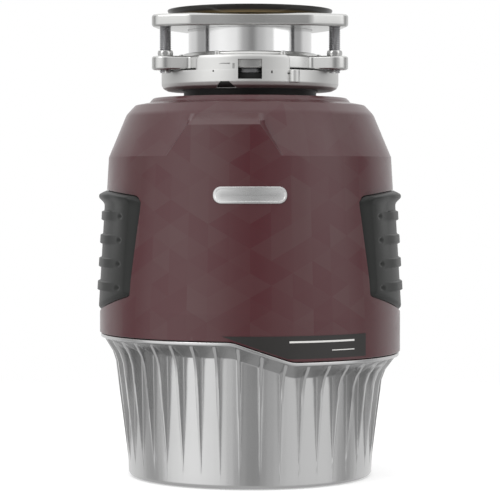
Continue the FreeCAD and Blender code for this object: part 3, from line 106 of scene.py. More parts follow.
def divided(points, longest, closed=True):
    # adds points on the runs that are longer than longest
    out = []
    count = len(points) if closed else len(points) - 1
    for i in range(count):
        a, b = points[i], points[(i + 1) % len(points)]
        parts = max(1, math.ceil((b - a).length / longest))
        out += [a.lerp(b, j / parts) for j in range(parts)]
    return out if closed else out + [points[-1]]


def gridMesh(name, rows, closeRows=True, closeAlong=True):
    # rows of 3D points in millimetres, joined into quads
    wide = len(rows[0])
    points = [Vector(p) * mm for row in rows for p in row]
    faces = []
    for i in range(len(rows) if closeRows else len(rows) - 1):
        after = (i + 1) % len(rows)
        for j in range(wide if closeAlong else wide - 1):
            k = (j + 1) % wide
            faces.append((i * wide + j, i * wide + k, after * wide + k, after * wide + j))
    return meshPiece(name, points, faces)


def meshPiece(name, points, faces, sharp=38):
    mesh = bpy.data.meshes.new(name)
    mesh.from_pydata(points, [], faces)
    shape = bmesh.new()
    shape.from_mesh(mesh)
    bmesh.ops.remove_doubles(shape, verts=shape.verts, dist=2e-6)
    bmesh.ops.dissolve_degenerate(shape, edges=shape.edges, dist=1e-7)
    bmesh.ops.recalc_face_normals(shape, faces=shape.faces)
    shape.to_mesh(mesh)
    shape.free()
    piece = bpy.data.objects.new(name, mesh)
    bpy.context.scene.collection.objects.link(piece)
    shadeSoft(piece, sharp)
    return piece


def shadeSoft(piece, sharp=38):
    piece.data.shade_smooth()
    piece.data.set_sharp_from_angle(angle=math.radians(sharp))


def spun(name, outline, turns=180, centre=(0, 0)):
    # a closed (radius, height) outline turned about a vertical axis
    rows = []
    for i in range(turns):
        angle = 2 * math.pi * i / turns
        rows.append([(centre[0] + p[0] * math.cos(angle), centre[1] + p[0] * math.sin(angle), p[1])
                     for p in outline])
    return gridMesh(name, rows)


def joined(name, pieces):
    # one object from several, as a moulding or a casting is one piece
    shape = bmesh.new()
    for piece in pieces:
        shape.from_mesh(piece.data)
    mesh = bpy.data.meshes.new(name)
    shape.to_mesh(mesh)
    shape.free()
    for piece in pieces:
        bpy.data.objects.remove(piece)
    whole = bpy.data.objects.new(name, mesh)
    bpy.context.scene.collection.objects.link(whole)
    shadeSoft(whole)
    return whole


def carve(piece, cutters):
    # cuts closed shapes out of a piece and removes them
    for cutter in cutters:
        tool = piece.modifiers.new("cut", "BOOLEAN")
        tool.operation = "DIFFERENCE"
        tool.solver = "EXACT"
        tool.object = cutter
    bpy.context.view_layer.update()
    solid = bpy.data.meshes.new_from_object(piece.evaluated_get(bpy.context.evaluated_depsgraph_get()))
    piece.modifiers.clear()
    piece.data = solid
    for cutter in cutters:
        bpy.data.objects.remove(cutter)
    shadeSoft(piece)
    return piece


def evenShading(piece):
    even = piece.modifiers.new("evenShading", "WEIGHTED_NORMAL")
    even.keep_sharp = True


def rodMesh(name, radius, low, high, centre=(0, 0), edge=0.4, turns=40):
    outline = softOutline([(0, low, 0), (radius, low, edge), (radius, high, edge), (0, high, 0)], 3)
    return spun(name, outline, turns, centre)


def blockMesh(name, low, high):
    shape = bmesh.new()
    bmesh.ops.create_cube(shape, size=1)
    size, middle = Vector(high) - Vector(low), (Vector(high) + Vector(low)) / 2
    for vertex in shape.verts:
        vertex.co = Vector(a * b + c for a, b, c in zip(vertex.co, size, middle)) * mm
    mesh = bpy.data.meshes.new(name)
    shape.to_mesh(mesh)
    shape.free()
    piece = bpy.data.objects.new(name, mesh)
    bpy.context.scene.collection.objects.link(piece)
    return piece


def place(piece, body, slot, material, *replaced):
    piece.data.materials.clear()
    piece.data.materials.append(material)
    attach(piece, body)
    if replaced:
        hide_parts(*replaced)
    return piece


class Nodes:
    # a short way to write a node tree
    def __init__(self, tree):
        self.tree = tree

    def add(self, kind, inputs=None, **settings):
        node = self.tree.nodes.new(kind)
        for key, value in settings.items():
            setattr(node, key, value)
        for key, value in (inputs or {}).items():
            self.feed(node.inputs[key], value)
        return node

    def feed(self, socket, value):
        if isinstance(value, bpy.types.NodeSocket):
            self.tree.links.new(value, socket)
        elif isinstance(value, bpy.types.Node):
            self.tree.links.new(value.outputs[0], socket)
        else:
            socket.default_value = value

    def math(self, operation, a, b=0.0, c=0.0, clamp=False):
        return self.add("ShaderNodeMath", {0: a, 1: b, 2: c}, operation=operation, use_clamp=clamp)

    def ramp(self, value, stops, interpolation="LINEAR"):
        node = self.add("ShaderNodeValToRGB", {0: value})
        node.color_ramp.interpolation = interpolation
        ends = node.color_ramp.elements
        while len(ends) < len(stops):
            ends.new(0.5)
        for end, (where, grey) in zip(ends, stops):
            end.position = where
            end.color = grey if len(grey) == 4 else (*grey, 1)
        return node

    def blend(self, factor, a, b):
        node = self.add("ShaderNodeMix", {0: factor}, data_type="RGBA")
        self.feed(node.inputs[6], a)
        self.feed(node.inputs[7], b)
        return node.outputs[2]


def axisDistance(n, axes):
    # from a point's separate coordinates
    squares = [n.math("MULTIPLY", axes.outputs[i], axes.outputs[i]) for i in (0, 1)]
    return n.math("SQRT", n.math("ADD", *squares))


def newGroup(name, inputs, outputs):
    tree = bpy.data.node_groups.new(name, "ShaderNodeTree")
    for title, kind, value in inputs:
        socket = tree.interface.new_socket(title, in_out="INPUT", socket_type=kind)
        socket.default_value = value
    for title, kind in outputs:
        tree.interface.new_socket(title, in_out="OUTPUT", socket_type=kind)
    nodesIn = Nodes(tree)
    return nodesIn, nodesIn.add("NodeGroupInput"), nodesIn.add("NodeGroupOutput")


number, colour = "NodeSocketFloat", "NodeSocketColor"


def makeGrainGroup():
    # fine moulded or sprayed grain: a little height and uneven gloss
    n, given, result = newGroup("surfaceGrain", [
        ("Size", number, 1.0), ("Roughness", number, 0.4), ("Unevenness", number, 0.1)],
        [("Roughness", number), ("Height", number)])
    spot = n.add("ShaderNodeTexCoord").outputs["Object"]
    fine = n.add("ShaderNodeTexNoise", {"Vector": spot, "Detail": 3.0, "Roughness": 0.6,
                                        "Scale": n.math("DIVIDE", 1600.0, given.outputs["Size"])})
    broad = n.add("ShaderNodeTexNoise", {"Vector": spot, "Detail": 2.0, "Roughness": 0.5, "Scale": 28.0})
    both = n.math("MULTIPLY_ADD", fine.outputs[0], 0.35, n.math("MULTIPLY", broad.outputs[0], 0.65))
    shift = n.math("MULTIPLY", n.math("SUBTRACT", both, 0.5), given.outputs["Unevenness"])
    n.feed(result.inputs["Roughness"], n.math("ADD", given.outputs["Roughness"], shift))
    n.feed(result.inputs["Height"], fine.outputs[0])
    return n.tree


def makeTurnedGroup():
    # fine lathe or polishing marks that run round the vertical axis
    n, given, result = newGroup("turnedMarks", [
        ("Pitch", number, 0.3), ("Roughness", number, 0.2), ("Depth", number, 0.1)],
        [("Roughness", number), ("Height", number)])
    spot = n.add("ShaderNodeTexCoord").outputs["Object"]
    axes = n.add("ShaderNodeSeparateXYZ", {0: spot})
    reach = axisDistance(n, axes)
    turn = n.math("ARCTAN2", axes.outputs[1], axes.outputs[0])
    wound = n.add("ShaderNodeCombineXYZ", {
        0: n.math("MULTIPLY", turn, 0.004), 1: n.math("ADD", reach, axes.outputs[2]), 2: 0.0})
    lines = n.add("ShaderNodeTexNoise", {"Vector": wound, "Detail": 4.0, "Roughness": 0.7,
                                         "Scale": n.math("DIVIDE", 700.0, given.outputs["Pitch"])})
    smear = n.add("ShaderNodeTexNoise", {"Vector": spot, "Detail": 2.0, "Scale": 45.0})
    both = n.math("MULTIPLY_ADD", lines.outputs[0], 0.6, n.math("MULTIPLY", smear.outputs[0], 0.4))
    shift = n.math("MULTIPLY", n.math("SUBTRACT", both, 0.5), given.outputs["Depth"])
    n.feed(result.inputs["Roughness"], n.math("ADD", given.outputs["Roughness"], shift, clamp=True))
    n.feed(result.inputs["Height"], lines.outputs[0])
    return n.tree


def makeWearGroup():
    # edges that have been handled: a lighter colour on the outer corners, and a mask of them
    n, given, result = newGroup("edgeWear", [
        ("Color", colour, (0.5, 0.5, 0.5, 1)), ("Worn Color", colour, (0.7, 0.7, 0.7, 1)),
        ("Amount", number, 0.5), ("Start", number, 0.53)],
        [("Color", colour), ("Mask", number)])
    bare = n.add("ShaderNodeNewGeometry").outputs["Pointiness"]
    spot = n.add("ShaderNodeTexCoord").outputs["Object"]
    broken = n.add("ShaderNodeTexNoise", {"Vector": spot, "Detail": 4.0, "Roughness": 0.65,
                                          "Scale": 220.0})
    edge = n.add("ShaderNodeMapRange", {0: bare, 1: given.outputs["Start"],
                                        2: n.math("ADD", given.outputs["Start"], 0.05)})
    mask = n.math("MULTIPLY", n.math("MULTIPLY", edge, given.outputs["Amount"]),
                  n.add("ShaderNodeMapRange", {0: broken.outputs[0], 1: 0.35, 2: 0.65}), clamp=True)
    n.feed(result.inputs["Color"], n.blend(mask, given.outputs["Color"], given.outputs["Worn Color"]))
    n.feed(result.inputs["Mask"], mask)
    return n.tree


def makeToneGroup():
    # slow drift of a colour between two near tones
    n, given, result = newGroup("toneDrift", [
        ("Color", colour, (0.5, 0.5, 0.5, 1)), ("Second Color", colour, (0.5, 0.5, 0.5, 1)),
        ("Scale", number, 30.0), ("Amount", number, 0.5)],
        [("Color", colour)])
    spot = n.add("ShaderNodeTexCoord").outputs["Object"]
    cloud = n.add("ShaderNodeTexNoise", {"Vector": spot, "Detail": 4.0, "Roughness": 0.6,
                                         "Scale": given.outputs["Scale"]})
    sharp = n.add("ShaderNodeMapRange", {0: cloud.outputs[0], 1: 0.3, 2: 0.7})
    n.feed(result.inputs["Color"], n.blend(n.math("MULTIPLY", sharp, given.outputs["Amount"]),
                                           given.outputs["Color"], given.outputs["Second Color"]))
    return n.tree


def makeFacetGroup():
    # a field of lozenges laid over each other on the shroud, which leaves triangles of many near tones
    n, given, result = newGroup("facetTones", [("Around", number, 46.0), ("Radius", number, 0.1)],
                                [("Tone", number), ("Second Tone", number)])
    axes = n.add("ShaderNodeSeparateXYZ", {0: n.add("ShaderNodeTexCoord").outputs["Object"]})
    forward = n.math("MULTIPLY", axes.outputs[1], -1.0)
    turn = n.math("DIVIDE", n.math("ARCTAN2", axes.outputs[0], forward), 2 * math.pi)
    across = n.math("MULTIPLY", turn, given.outputs["Around"])
    girth = n.math("MULTIPLY", given.outputs["Radius"], 2 * math.pi)
    step = n.math("DIVIDE", girth, given.outputs["Around"])
    up = n.math("MULTIPLY", n.math("DIVIDE", axes.outputs[2], step), math.sqrt(0.75))
    half = n.math("MULTIPLY", across, 0.5)
    upright = n.math("FLOOR", across)
    rising = n.math("FLOOR", n.math("ADD", half, up))
    falling = n.math("FLOOR", n.math("SUBTRACT", half, up))
    tones = []
    for k, (a, b) in enumerate(((upright, rising), (rising, falling), (falling, upright))):
        cell = n.add("ShaderNodeCombineXYZ", {0: a, 1: b, 2: 3.0 * k + 1.0})
        tones.append(n.add("ShaderNodeTexWhiteNoise", {"Vector": cell}, noise_dimensions="3D").outputs[0])
    both = n.math("ADD", tones[0], n.math("ADD", tones[1], tones[2]))
    n.feed(result.inputs["Tone"], n.math("DIVIDE", both, 3.0))
    n.feed(result.inputs["Second Tone"], tones[1])
    return n.tree


grainGroup = makeGrainGroup()
turnedGroup = makeTurnedGroup()
wearGroup = makeWearGroup()
toneGroup = makeToneGroup()
facetGroup = makeFacetGroup()
print("effects ready")


def startMaterial(name):
    material = bpy.data.materials.new(name)
    material.use_nodes = True
    n = Nodes(material.node_tree)
    shader = material.node_tree.nodes["Principled BSDF"]
    return material, n, shader


def usedGroup(n, tree, **inputs):
    node = n.add("ShaderNodeGroup", node_tree=tree)
    for key, value in inputs.items():
        n.feed(node.inputs[key.replace("_", " ")], value)
    return node


def bump(n, shader, height, depth):
    node = n.add("ShaderNodeBump", {"Height": height, "Distance": depth * mm, "Strength": 1.0})
    n.feed(shader.inputs["Normal"], node)


def addGrain(n, shader, size, roughness, unevenness):
    fine = usedGroup(n, grainGroup, Size=size, Roughness=roughness, Unevenness=unevenness)
    n.feed(shader.inputs["Roughness"], fine.outputs["Roughness"])
    return fine.outputs["Height"]


def sprayedMetal(name, paint, tone, roughness=0.35, metallic=0.9, grain=0.6, depth=0.02):
    # painted or cast metal with a light grain
    material, n, shader = startMaterial(name)
    drift = usedGroup(n, toneGroup, Color=paint, Second_Color=tone, Scale=18.0, Amount=0.6)
    worn = usedGroup(n, wearGroup, Color=drift.outputs[0], Worn_Color=(0.85, 0.85, 0.86, 1), Amount=0.35)
    n.feed(shader.inputs["Base Color"], worn.outputs[0])
    shader.inputs["Metallic"].default_value = metallic
    bump(n, shader, addGrain(n, shader, grain, roughness, 0.12), depth)
    return material


def gasketWithPaintedReflection(name, middle, edge, reach):
    # fibre gasket: the brown in the middle is a painted brownish sheen, and the black it turns to at its lip
    # is a painted dark reflection
    material, n, shader = startMaterial(name)
    axes = n.add("ShaderNodeSeparateXYZ", {0: n.add("ShaderNodeTexCoord").outputs["Object"]})
    mask = n.add("ShaderNodeMapRange", {
        0: axisDistance(n, axes), 1: (reach - 3.4) * mm, 2: (reach - 1.9) * mm})
    # middle is the painted brownish sheen, edge is the painted dark reflection towards the lip
    paint = n.blend(mask, middle, edge)
    drift = usedGroup(n, toneGroup, Color=paint, Second_Color=edge, Scale=60.0, Amount=0.25)
    n.feed(shader.inputs["Base Color"], drift.outputs[0])
    bump(n, shader, addGrain(n, shader, 0.7, 0.3, 0.15), 0.02)
    return material


def polishedMetal(name, tint, roughness=0.1, marks=0.08, pitch=0.5, depth=0.004):
    # plated, ground or drawn metal with fine marks round the axis
    material, n, shader = startMaterial(name)
    dull = tuple(0.86 * c for c in tint[:3]) + (1,)
    drift = usedGroup(n, toneGroup, Color=tint, Second_Color=dull, Scale=40.0, Amount=0.35)
    n.feed(shader.inputs["Base Color"], drift.outputs[0])
    lines = usedGroup(n, turnedGroup, Pitch=pitch, Roughness=roughness, Depth=marks)
    n.feed(shader.inputs["Roughness"], lines.outputs["Roughness"])
    shader.inputs["Metallic"].default_value = 1.0
    bump(n, shader, lines.outputs["Height"], depth)
    return material


def mouldedRubber(name, paint, tone, roughness=0.6, grain=0.8, depth=0.05, gloss=0.35):
    material, n, shader = startMaterial(name)
    drift = usedGroup(n, toneGroup, Color=paint, Second_Color=tone, Scale=35.0, Amount=0.7)
    pale = tuple(2.2 * c for c in paint[:3]) + (1,)
    worn = usedGroup(n, wearGroup, Color=drift.outputs[0], Worn_Color=pale, Amount=0.3)
    n.feed(shader.inputs["Base Color"], worn.outputs[0])
    shader.inputs["Specular IOR Level"].default_value = gloss
    bump(n, shader, addGrain(n, shader, grain, roughness, 0.2), depth)
    return material


def plastic(name, paint, tone, roughness=0.3, grain=0.4, depth=0.01):
    material, n, shader = startMaterial(name)
    drift = usedGroup(n, toneGroup, Color=paint, Second_Color=tone, Scale=25.0, Amount=0.6)
    n.feed(shader.inputs["Base Color"], drift.outputs[0])
    bump(n, shader, addGrain(n, shader, grain, roughness, 0.12), depth)
    return material


def laminatedSteel(name):
    # stacked stampings: level lines half a millimetre apart
    material, n, shader = startMaterial(name)
    height = n.add("ShaderNodeSeparateXYZ", {0: n.add("ShaderNodeTexCoord").outputs["Object"]}).outputs[2]
    line = n.math("PINGPONG", height, 0.00025)
    seam = n.add("ShaderNodeMapRange", {0: line, 1: 0.0, 2: 0.00006})
    n.feed(shader.inputs["Base Color"], n.blend(seam, (0.06, 0.055, 0.05, 1), (0.32, 0.32, 0.33, 1)))
    addGrain(n, shader, 0.5, 0.42, 0.2)
    shader.inputs["Metallic"].default_value = 0.9
    bump(n, shader, seam, 0.05)
    return material


def woundCopper(name):
    # varnished wire laid round in bundles
    material, n, shader = startMaterial(name)
    spot = n.add("ShaderNodeTexCoord").outputs["Object"]
    wires = n.add("ShaderNodeTexWave", {"Vector": spot, "Scale": 260.0, "Distortion": 1.5,
                                        "Detail": 2.0, "Detail Scale": 1.5}, bands_direction="Z")
    paint = n.blend(wires.outputs[0], (0.16, 0.035, 0.01, 1), (0.62, 0.22, 0.07, 1))
    n.feed(shader.inputs["Base Color"], paint)
    addGrain(n, shader, 1.0, 0.3, 0.15)
    shader.inputs["Metallic"].default_value = 0.75
    bump(n, shader, wires.outputs[0], 0.25)
    return material


def beadFoam(name):
    # expanded beads pressed together
    material, n, shader = startMaterial(name)
    beads = n.add("ShaderNodeTexVoronoi", {"Vector": n.add("ShaderNodeTexCoord").outputs["Object"],
                                           "Scale": 260.0}, feature="SMOOTH_F1")
    paint = n.blend(beads.outputs[0], (0.42, 0.42, 0.40, 1), (0.62, 0.62, 0.60, 1))
    n.feed(shader.inputs["Base Color"], paint)
    addGrain(n, shader, 1.5, 0.85, 0.1)
    bump(n, shader, beads.outputs[0], -0.4)
    return material


shroudLook = {
    "wine": (0.060, 0.0045, 0.0090, 1),   # deep tone between the facets
    "ash": (0.070, 0.020, 0.0225, 1),     # greyer tone of the light facets
    "cellsAround": 46.0,
    "roughness": 0.34,
    "facetGloss": 0.06,                   # how much a facet's gloss differs from its neighbour's
}


def shroudMaterial():
    material, n, shader = startMaterial("maroonShroud")
    cells = usedGroup(n, facetGroup, Around=shroudLook["cellsAround"], Radius=0.101)
    soft = n.add("ShaderNodeMapRange", {0: cells.outputs["Tone"], 1: 0.2, 2: 0.8})
    paint = n.blend(soft, shroudLook["wine"], shroudLook["ash"])
    worn = usedGroup(n, wearGroup, Color=paint, Worn_Color=(0.2, 0.15, 0.15, 1), Amount=0.25, Start=0.54)
    n.feed(shader.inputs["Base Color"], worn.outputs[0])
    fine = usedGroup(n, grainGroup, Size=0.5, Roughness=shroudLook["roughness"], Unevenness=0.05)
    lean = n.math("SUBTRACT", cells.outputs["Second Tone"], 0.5)
    shift = n.math("MULTIPLY", lean, shroudLook["facetGloss"])
    n.feed(shader.inputs["Roughness"], n.math("ADD", fine.outputs["Roughness"], shift))
    shader.inputs["Metallic"].default_value = 0.0
    shader.inputs["Coat Roughness"].default_value = 0.18
    shader.inputs["Coat Weight"].default_value = 0.35
    bump(n, shader, fine.outputs["Height"], 0.01)
    return material


looks = {
    "maroon_shroud": shroudMaterial(),
    "base_silver": sprayedMetal("baseSilver", (0.66, 0.66, 0.66, 1), (0.60, 0.60, 0.60, 1), 0.24, 1.0),
    "grip_rubber": mouldedRubber("gripRubber", (0.012, 0.013, 0.012, 1), (0.008, 0.009, 0.008, 1), 0.42),
    "black_rubber": mouldedRubber("blackRubber", (0.012, 0.012, 0.012, 1), (0.02, 0.02, 0.02, 1), 0.5),
    "chrome_mount": polishedMetal("chromeMount", (0.62, 0.62, 0.61, 1), 0.26, 0.1),
    "zinc_steel": polishedMetal("zincSteel", (0.40, 0.40, 0.41, 1), 0.26, 0.14),
    "stainless": polishedMetal("stainless", (0.70, 0.69, 0.67, 1), 0.24, 0.2, 0.35, 0.01),
    # gasket colours: brown middle as painted sheen, black lip as painted dark reflection
    "gasket_fibre": gasketWithPaintedReflection("gasketFibrePaintedReflection", (0.16, 0.115, 0.05, 1), (0.012, 0.010, 0.008, 1),
                                 sizeOf("sink_flange")[2]),
    "black_plastic": plastic("blackPlastic", (0.018, 0.018, 0.018, 1), (0.03, 0.03, 0.03, 1), 0.42),
    "cast_aluminium": sprayedMetal("castAluminium", (0.55, 0.55, 0.56, 1), (0.46, 0.46, 0.47, 1),
                                   0.5, 0.95, 1.4, 0.08),
    "sintered_bronze": sprayedMetal("sinteredBronze", (0.42, 0.25, 0.12, 1), (0.34, 0.2, 0.1, 1), 0.45, 1.0),
    "core_steel": laminatedSteel("coreSteel"),
    "enamelled_copper": woundCopper("enamelledCopper"),
    "lead_insulation": plastic("leadInsulation", (0.02, 0.02, 0.025, 1), (0.03, 0.03, 0.03, 1), 0.45),
    "cover_steel": sprayedMetal("coverSteel", (0.52, 0.52, 0.53, 1), (0.48, 0.48, 0.49, 1), 0.4, 0.9),
    "green_screw": sprayedMetal("greenScrew", (0.02, 0.22, 0.06, 1), (0.02, 0.16, 0.05, 1), 0.35, 0.5),
    "red_button": plastic("redButton", (0.42, 0.012, 0.01, 1), (0.36, 0.01, 0.01, 1), 0.25),
    "capacitor_can": plastic("capacitorCan", (0.02, 0.02, 0.022, 1), (0.035, 0.035, 0.035, 1), 0.38),
    "foam": beadFoam("insulationFoam"),
    "label_black": plastic("labelBlack", (0.016, 0.014, 0.013, 1), (0.022, 0.020, 0.019, 1), 0.4),
    "badge_silver": polishedMetal("badgeSilver", (0.80, 0.80, 0.80, 1), 0.28, 0.2, 0.3),
}
drawnSteel = polishedMetal("drawnSteel", (0.80, 0.80, 0.80, 1), 0.14, 0.08)
satinSteel = polishedMetal("satinSteel", (0.68, 0.68, 0.67, 1), 0.44, 0.12)
paleInk = plastic("paleInk", (0.72, 0.71, 0.69, 1), (0.66, 0.65, 0.63, 1), 0.45)
slotOf = {s["node"]: s["material_slot"] for s in frame["record"]["subparts"]}
for name, node in nodes.items():
    node.data.materials.clear()
    node.data.materials.append(looks[slotOf[name]])
print("materials ready:", len(looks))


shroudLow, shroudHigh, shroudReach = sizeOf("outer_shroud")
joint = {
    "low": shroudLow,                            # right-hand side
    "high": sizeOf("base_shell")[1],             # left-hand side
    "left": -11.7,                               # ends of the slope, seen from the front
    "right": 28.0,
    "soft": 0.09,                                # share of the slope that its corners take
}


def jointHeight(x):
    t = (x - joint["left"]) / (joint["right"] - joint["left"])
    soft = joint["soft"]
    if t < -soft:
        t = 0
    elif t < soft:
        t = (t + soft) ** 2 / (4 * soft)
    elif t > 1 + soft:
        t = 1
    elif t > 1 - soft:
        t = 1 - (1 + soft - t) ** 2 / (4 * soft)
    return mix(joint["high"], joint["low"], t)


shroud = {
    "sheet": 3.4,
    "foot": (shroudReach, shroudLow, 0.9),       # (radius, height, rounding)
    "waist": (shroudReach, 112.0, 40),
    "crease": (97.8, 219.6, 1.6),
    "shoulder": (85.5, 249.0, 9),
    "crown": (79.5, 255.4, 2),
    "capFoot": (69.6, 257.3, 0.5),
    "capSide": (68.7, 258.6, 0.5),
    "capTop": (67.0, shroudHigh, 1.4),
    "bore": 47.6,
    "straightAbove": 125.0,                      # from here up the step isn't felt
    "shieldTop": 239.9,
    "shieldBevel": 242.6,
    "shieldEnd": 243.9,
    "shieldRadius": 96.6,
    "bevelDepth": 3.2,
    # edges of the raised front, from the front: (x at its foot, x at its top)
    "shieldEdges": [(-55.6, -45.0), (-55.0, -40.6), (-11.7, -11.7), (20.9, 6.6), (21.5, 10.6), (28.0, 28.0)],
    "columns": [64, 3, 26, 22, 3, 8, 64],
}


def sideRadius(z):
    # outside of the shroud between its waist and its crease
    (lowR, lowZ, _), (highR, highZ, _) = shroud["waist"], shroud["crease"]
    return mix(lowR, highR, max(0, (z - lowZ) / (highZ - lowZ)))


def shroudOutline():
    s, sheet = shroud, shroud["sheet"]
    outer = [s["foot"], s["waist"], s["crease"], s["shoulder"], s["crown"], s["capFoot"], s["capSide"],
             s["capTop"], (s["bore"], shroudHigh, 0.9)]
    inner = [(s["bore"], shroudHigh - sheet, 0.5), (s["capSide"][0] - 5, shroudHigh - sheet, 2),
             (s["crown"][0] - sheet, s["crown"][1] - sheet, 2),
             (s["shoulder"][0] - sheet, s["shoulder"][1] - 2, 5),
             (s["crease"][0] - sheet, s["crease"][1] - 1, 2),
             (s["waist"][0] - sheet, s["waist"][1], 0), (s["foot"][0] - sheet, s["foot"][1], 0.5)]
    points = divided(softOutline(outer + inner, 5), 7)
    for z in (s["shieldTop"], s["shieldBevel"], s["shieldEnd"]):
        points = withHeight(points, z)
    return points


def withHeight(points, z):
    # a point at height z on the outer side, where the outline first passes it
    for i in range(len(points) - 1):
        a, b = points[i], points[i + 1]
        if a[1] < z - 0.01 and b[1] > z + 0.01:
            return points[:i + 1] + [a.lerp(b, (z - a[1]) / (b[1] - a[1]))] + points[i + 1:]
    return points


def shroudColumns(z):
    # angle of each column from the front, in radians, and whether it is on the raised front
    s = shroud
    t = min(1, max(0, (z - s["crease"][1]) / (s["shieldTop"] - s["crease"][1])))
    anchors = [-math.pi]
    for low, high in s["shieldEdges"]:
        anchors.append(mix(math.asin(low / s["crease"][0]), math.asin(high / s["shieldRadius"]), t))
    anchors.append(math.pi)
    columns = []
    for i, count in enumerate(s["columns"]):
        for j in range(count):
            share = {0: 0, 1: j / count, 4: 1 - j / count}.get(i, 1 if i in (2, 3) else 0)
            columns.append((mix(anchors[i], anchors[i + 1], j / count), share))
    return columns


def shieldPoint(base, z):
    # the raised front carries the side's line up over the shoulder
    s = shroud
    t = (z - s["crease"][1]) / (s["shieldTop"] - s["crease"][1])
    if t <= 0 or z >= s["shieldEnd"]:
        return base
    flush = mix(s["crease"][0], s["shieldRadius"], min(1, t))
    if z > s["shieldTop"]:
        flush -= s["bevelDepth"] * (z - s["shieldTop"]) / (s["shieldBevel"] - s["shieldTop"])
    return max(base, flush)


def buildShroud():
    outline = shroudOutline()
    peak = max(range(len(outline)), key=lambda i: outline[i][1])
    rows = []
    for index, point in enumerate(outline):
        r, z = point
        row = []
        for angle, share in shroudColumns(z):
            radius = r
            if index < peak:
                radius = mix(r, shieldPoint(r, z), share)
            height = z
            if z < shroud["straightAbove"]:
                foot = jointHeight(radius * math.sin(angle))
                t = (z - shroudLow) / (shroud["straightAbove"] - shroudLow)
                height = mix(foot, shroud["straightAbove"], t)
            row.append(fromFront(radius, angle, height))
        rows.append(row)
    piece = gridMesh("shroud", rows)
    carve(piece, [gripCutter(1), gripCutter(-1)] + backOpenings())
    evenShading(piece)
    return place(piece, "housing", "maroon_shroud", looks["maroon_shroud"], "outer_shroud")


def backOpenings():
    # the window round the drain outlet, and the hole for the dishwasher inlet
    low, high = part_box("outlet_grommet")
    low, high = low / mm, high / mm
    grow = 0.1
    corners = [(low.x - grow, low.z - grow, 8), (high.x + grow, low.z - grow, 8),
               (high.x + grow, high.z + grow, 8), (low.x - grow, high.z + grow, 8)]
    outline = softOutline(corners, 6)
    window = prismMesh("windowCutter", [(p[0], 60, p[1]) for p in outline], (0, 70, 0))
    iLow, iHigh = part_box("dishwasher_inlet")
    middle = (iLow + iHigh) / 2 / mm
    angle = math.atan2(middle.y, middle.x)
    across = Vector((-math.sin(angle), math.cos(angle), 0))
    radius = 12.4
    circle = [Vector((0, 0, middle.z)) + Vector((math.cos(angle), math.sin(angle), 0)) * 70
              + across * radius * math.cos(t) + Vector((0, 0, radius * math.sin(t)))
              for t in (2 * math.pi * i / 40 for i in range(40))]
    hole = prismMesh("inletCutter", circle, Vector((math.cos(angle), math.sin(angle), 0)) * 45)
    return [window, hole]


def prismMesh(name, outline, travel):
    # a closed outline of 3D points carried along a straight line
    near = [Vector(p) * mm for p in outline]
    far = [p + Vector(travel) * mm for p in near]
    count = len(near)
    faces = [tuple(range(count)), tuple(range(2 * count - 1, count - 1, -1))]
    faces += [(i, count + i, count + (i + 1) % count, (i + 1) % count) for i in range(count)]
    return meshPiece(name, near + far, faces)


gripLow, gripHigh, _ = sizeOf("right_grip")
grip = {
    "point": gripLow,                # lowest point, in the middle
    "corner": 127.0,                 # height of the lower corners
    "topMiddle": gripHigh,
    "topCorner": 192.6,
    "halfTop": 67.2,                 # half widths, along the arc's chord
    "halfLow": 64.0,
    "proud": 1.0,
    "sunk": 1.8,
    "frontProud": 2.0,               # how much further it stands towards its front and back, at the top
    "edgeTurn": 4.0,                 # width of the edge that rolls down into the shroud
    "ribs": [131.6, 147.6, 163.6, 179.6],
    "ribHeight": 6.4,
    "ribProud": 1.7,
    "ribFade": (30, 51),
    "pitReach": 53.5,
    "pitDepth": 1.3,
    "pitSize": 2.6,
    "lipReach": 104.6,
    "lipHeight": 193.2,
    "rows": 150,
    "columns": 84,
}


def gripOutline(y, half):
    # lowest and highest z of the grip at a distance y from its middle
    share = min(1, abs(y) / half)
    low = mix(grip["point"], grip["corner"], share ** 1.25)
    high = mix(grip["topMiddle"], grip["topCorner"], share ** 2.2)
    corner = max(0, share - 0.93) / 0.07
    return low + 1.6 * corner ** 3, high - 4.0 * corner ** 2.5


def gripHalf(z):
    t = (z - grip["corner"]) / (grip["topCorner"] - grip["corner"])
    return mix(grip["halfLow"], grip["halfTop"], min(1, max(0, t)))


def gripRelief(y, z, edge):
    # how far the face stands from the shroud's surface; edge is the distance to the outline
    roll = 1 - easeStep(0, grip["edgeTurn"], edge)
    rise = min(1, max(0, (z - grip["corner"]) / (grip["topCorner"] - grip["corner"])))
    stand = grip["proud"] + grip["frontProud"] * rise * easeStep(40, 60, abs(y))
    height = stand - (stand + 1.1) * roll ** 2
    fade = 1 - easeStep(*grip["ribFade"], abs(y))
    for middle in grip["ribs"]:
        inside = grip["ribHeight"] / 2 - abs(z - middle)
        height += grip["ribProud"] * easeStep(-0.35, 0.45, inside) * fade
        away = math.hypot((abs(y) - grip["pitReach"]) * 0.8, z - middle)
        height -= grip["pitDepth"] * (1 - easeStep(0, grip["pitSize"], away))
    # the finger lip swells to a hook along the top
    rise = easeStep(grip["lipHeight"] - 8.5, grip["lipHeight"] - 0.6, z)
    drop = 1 - easeStep(grip["lipHeight"] + 0.4, grip["topMiddle"] + 0.6, z)
    hook = grip["lipReach"] - sideRadius(grip["lipHeight"]) - grip["proud"]
    along = 1 - 0.45 * easeStep(30, 64, abs(y))
    return height + hook * rise ** 2.2 * drop * along


def gripPoint(side, y, z, radius):
    return side * math.sqrt(max(0.0, radius * radius - y * y)), y, z


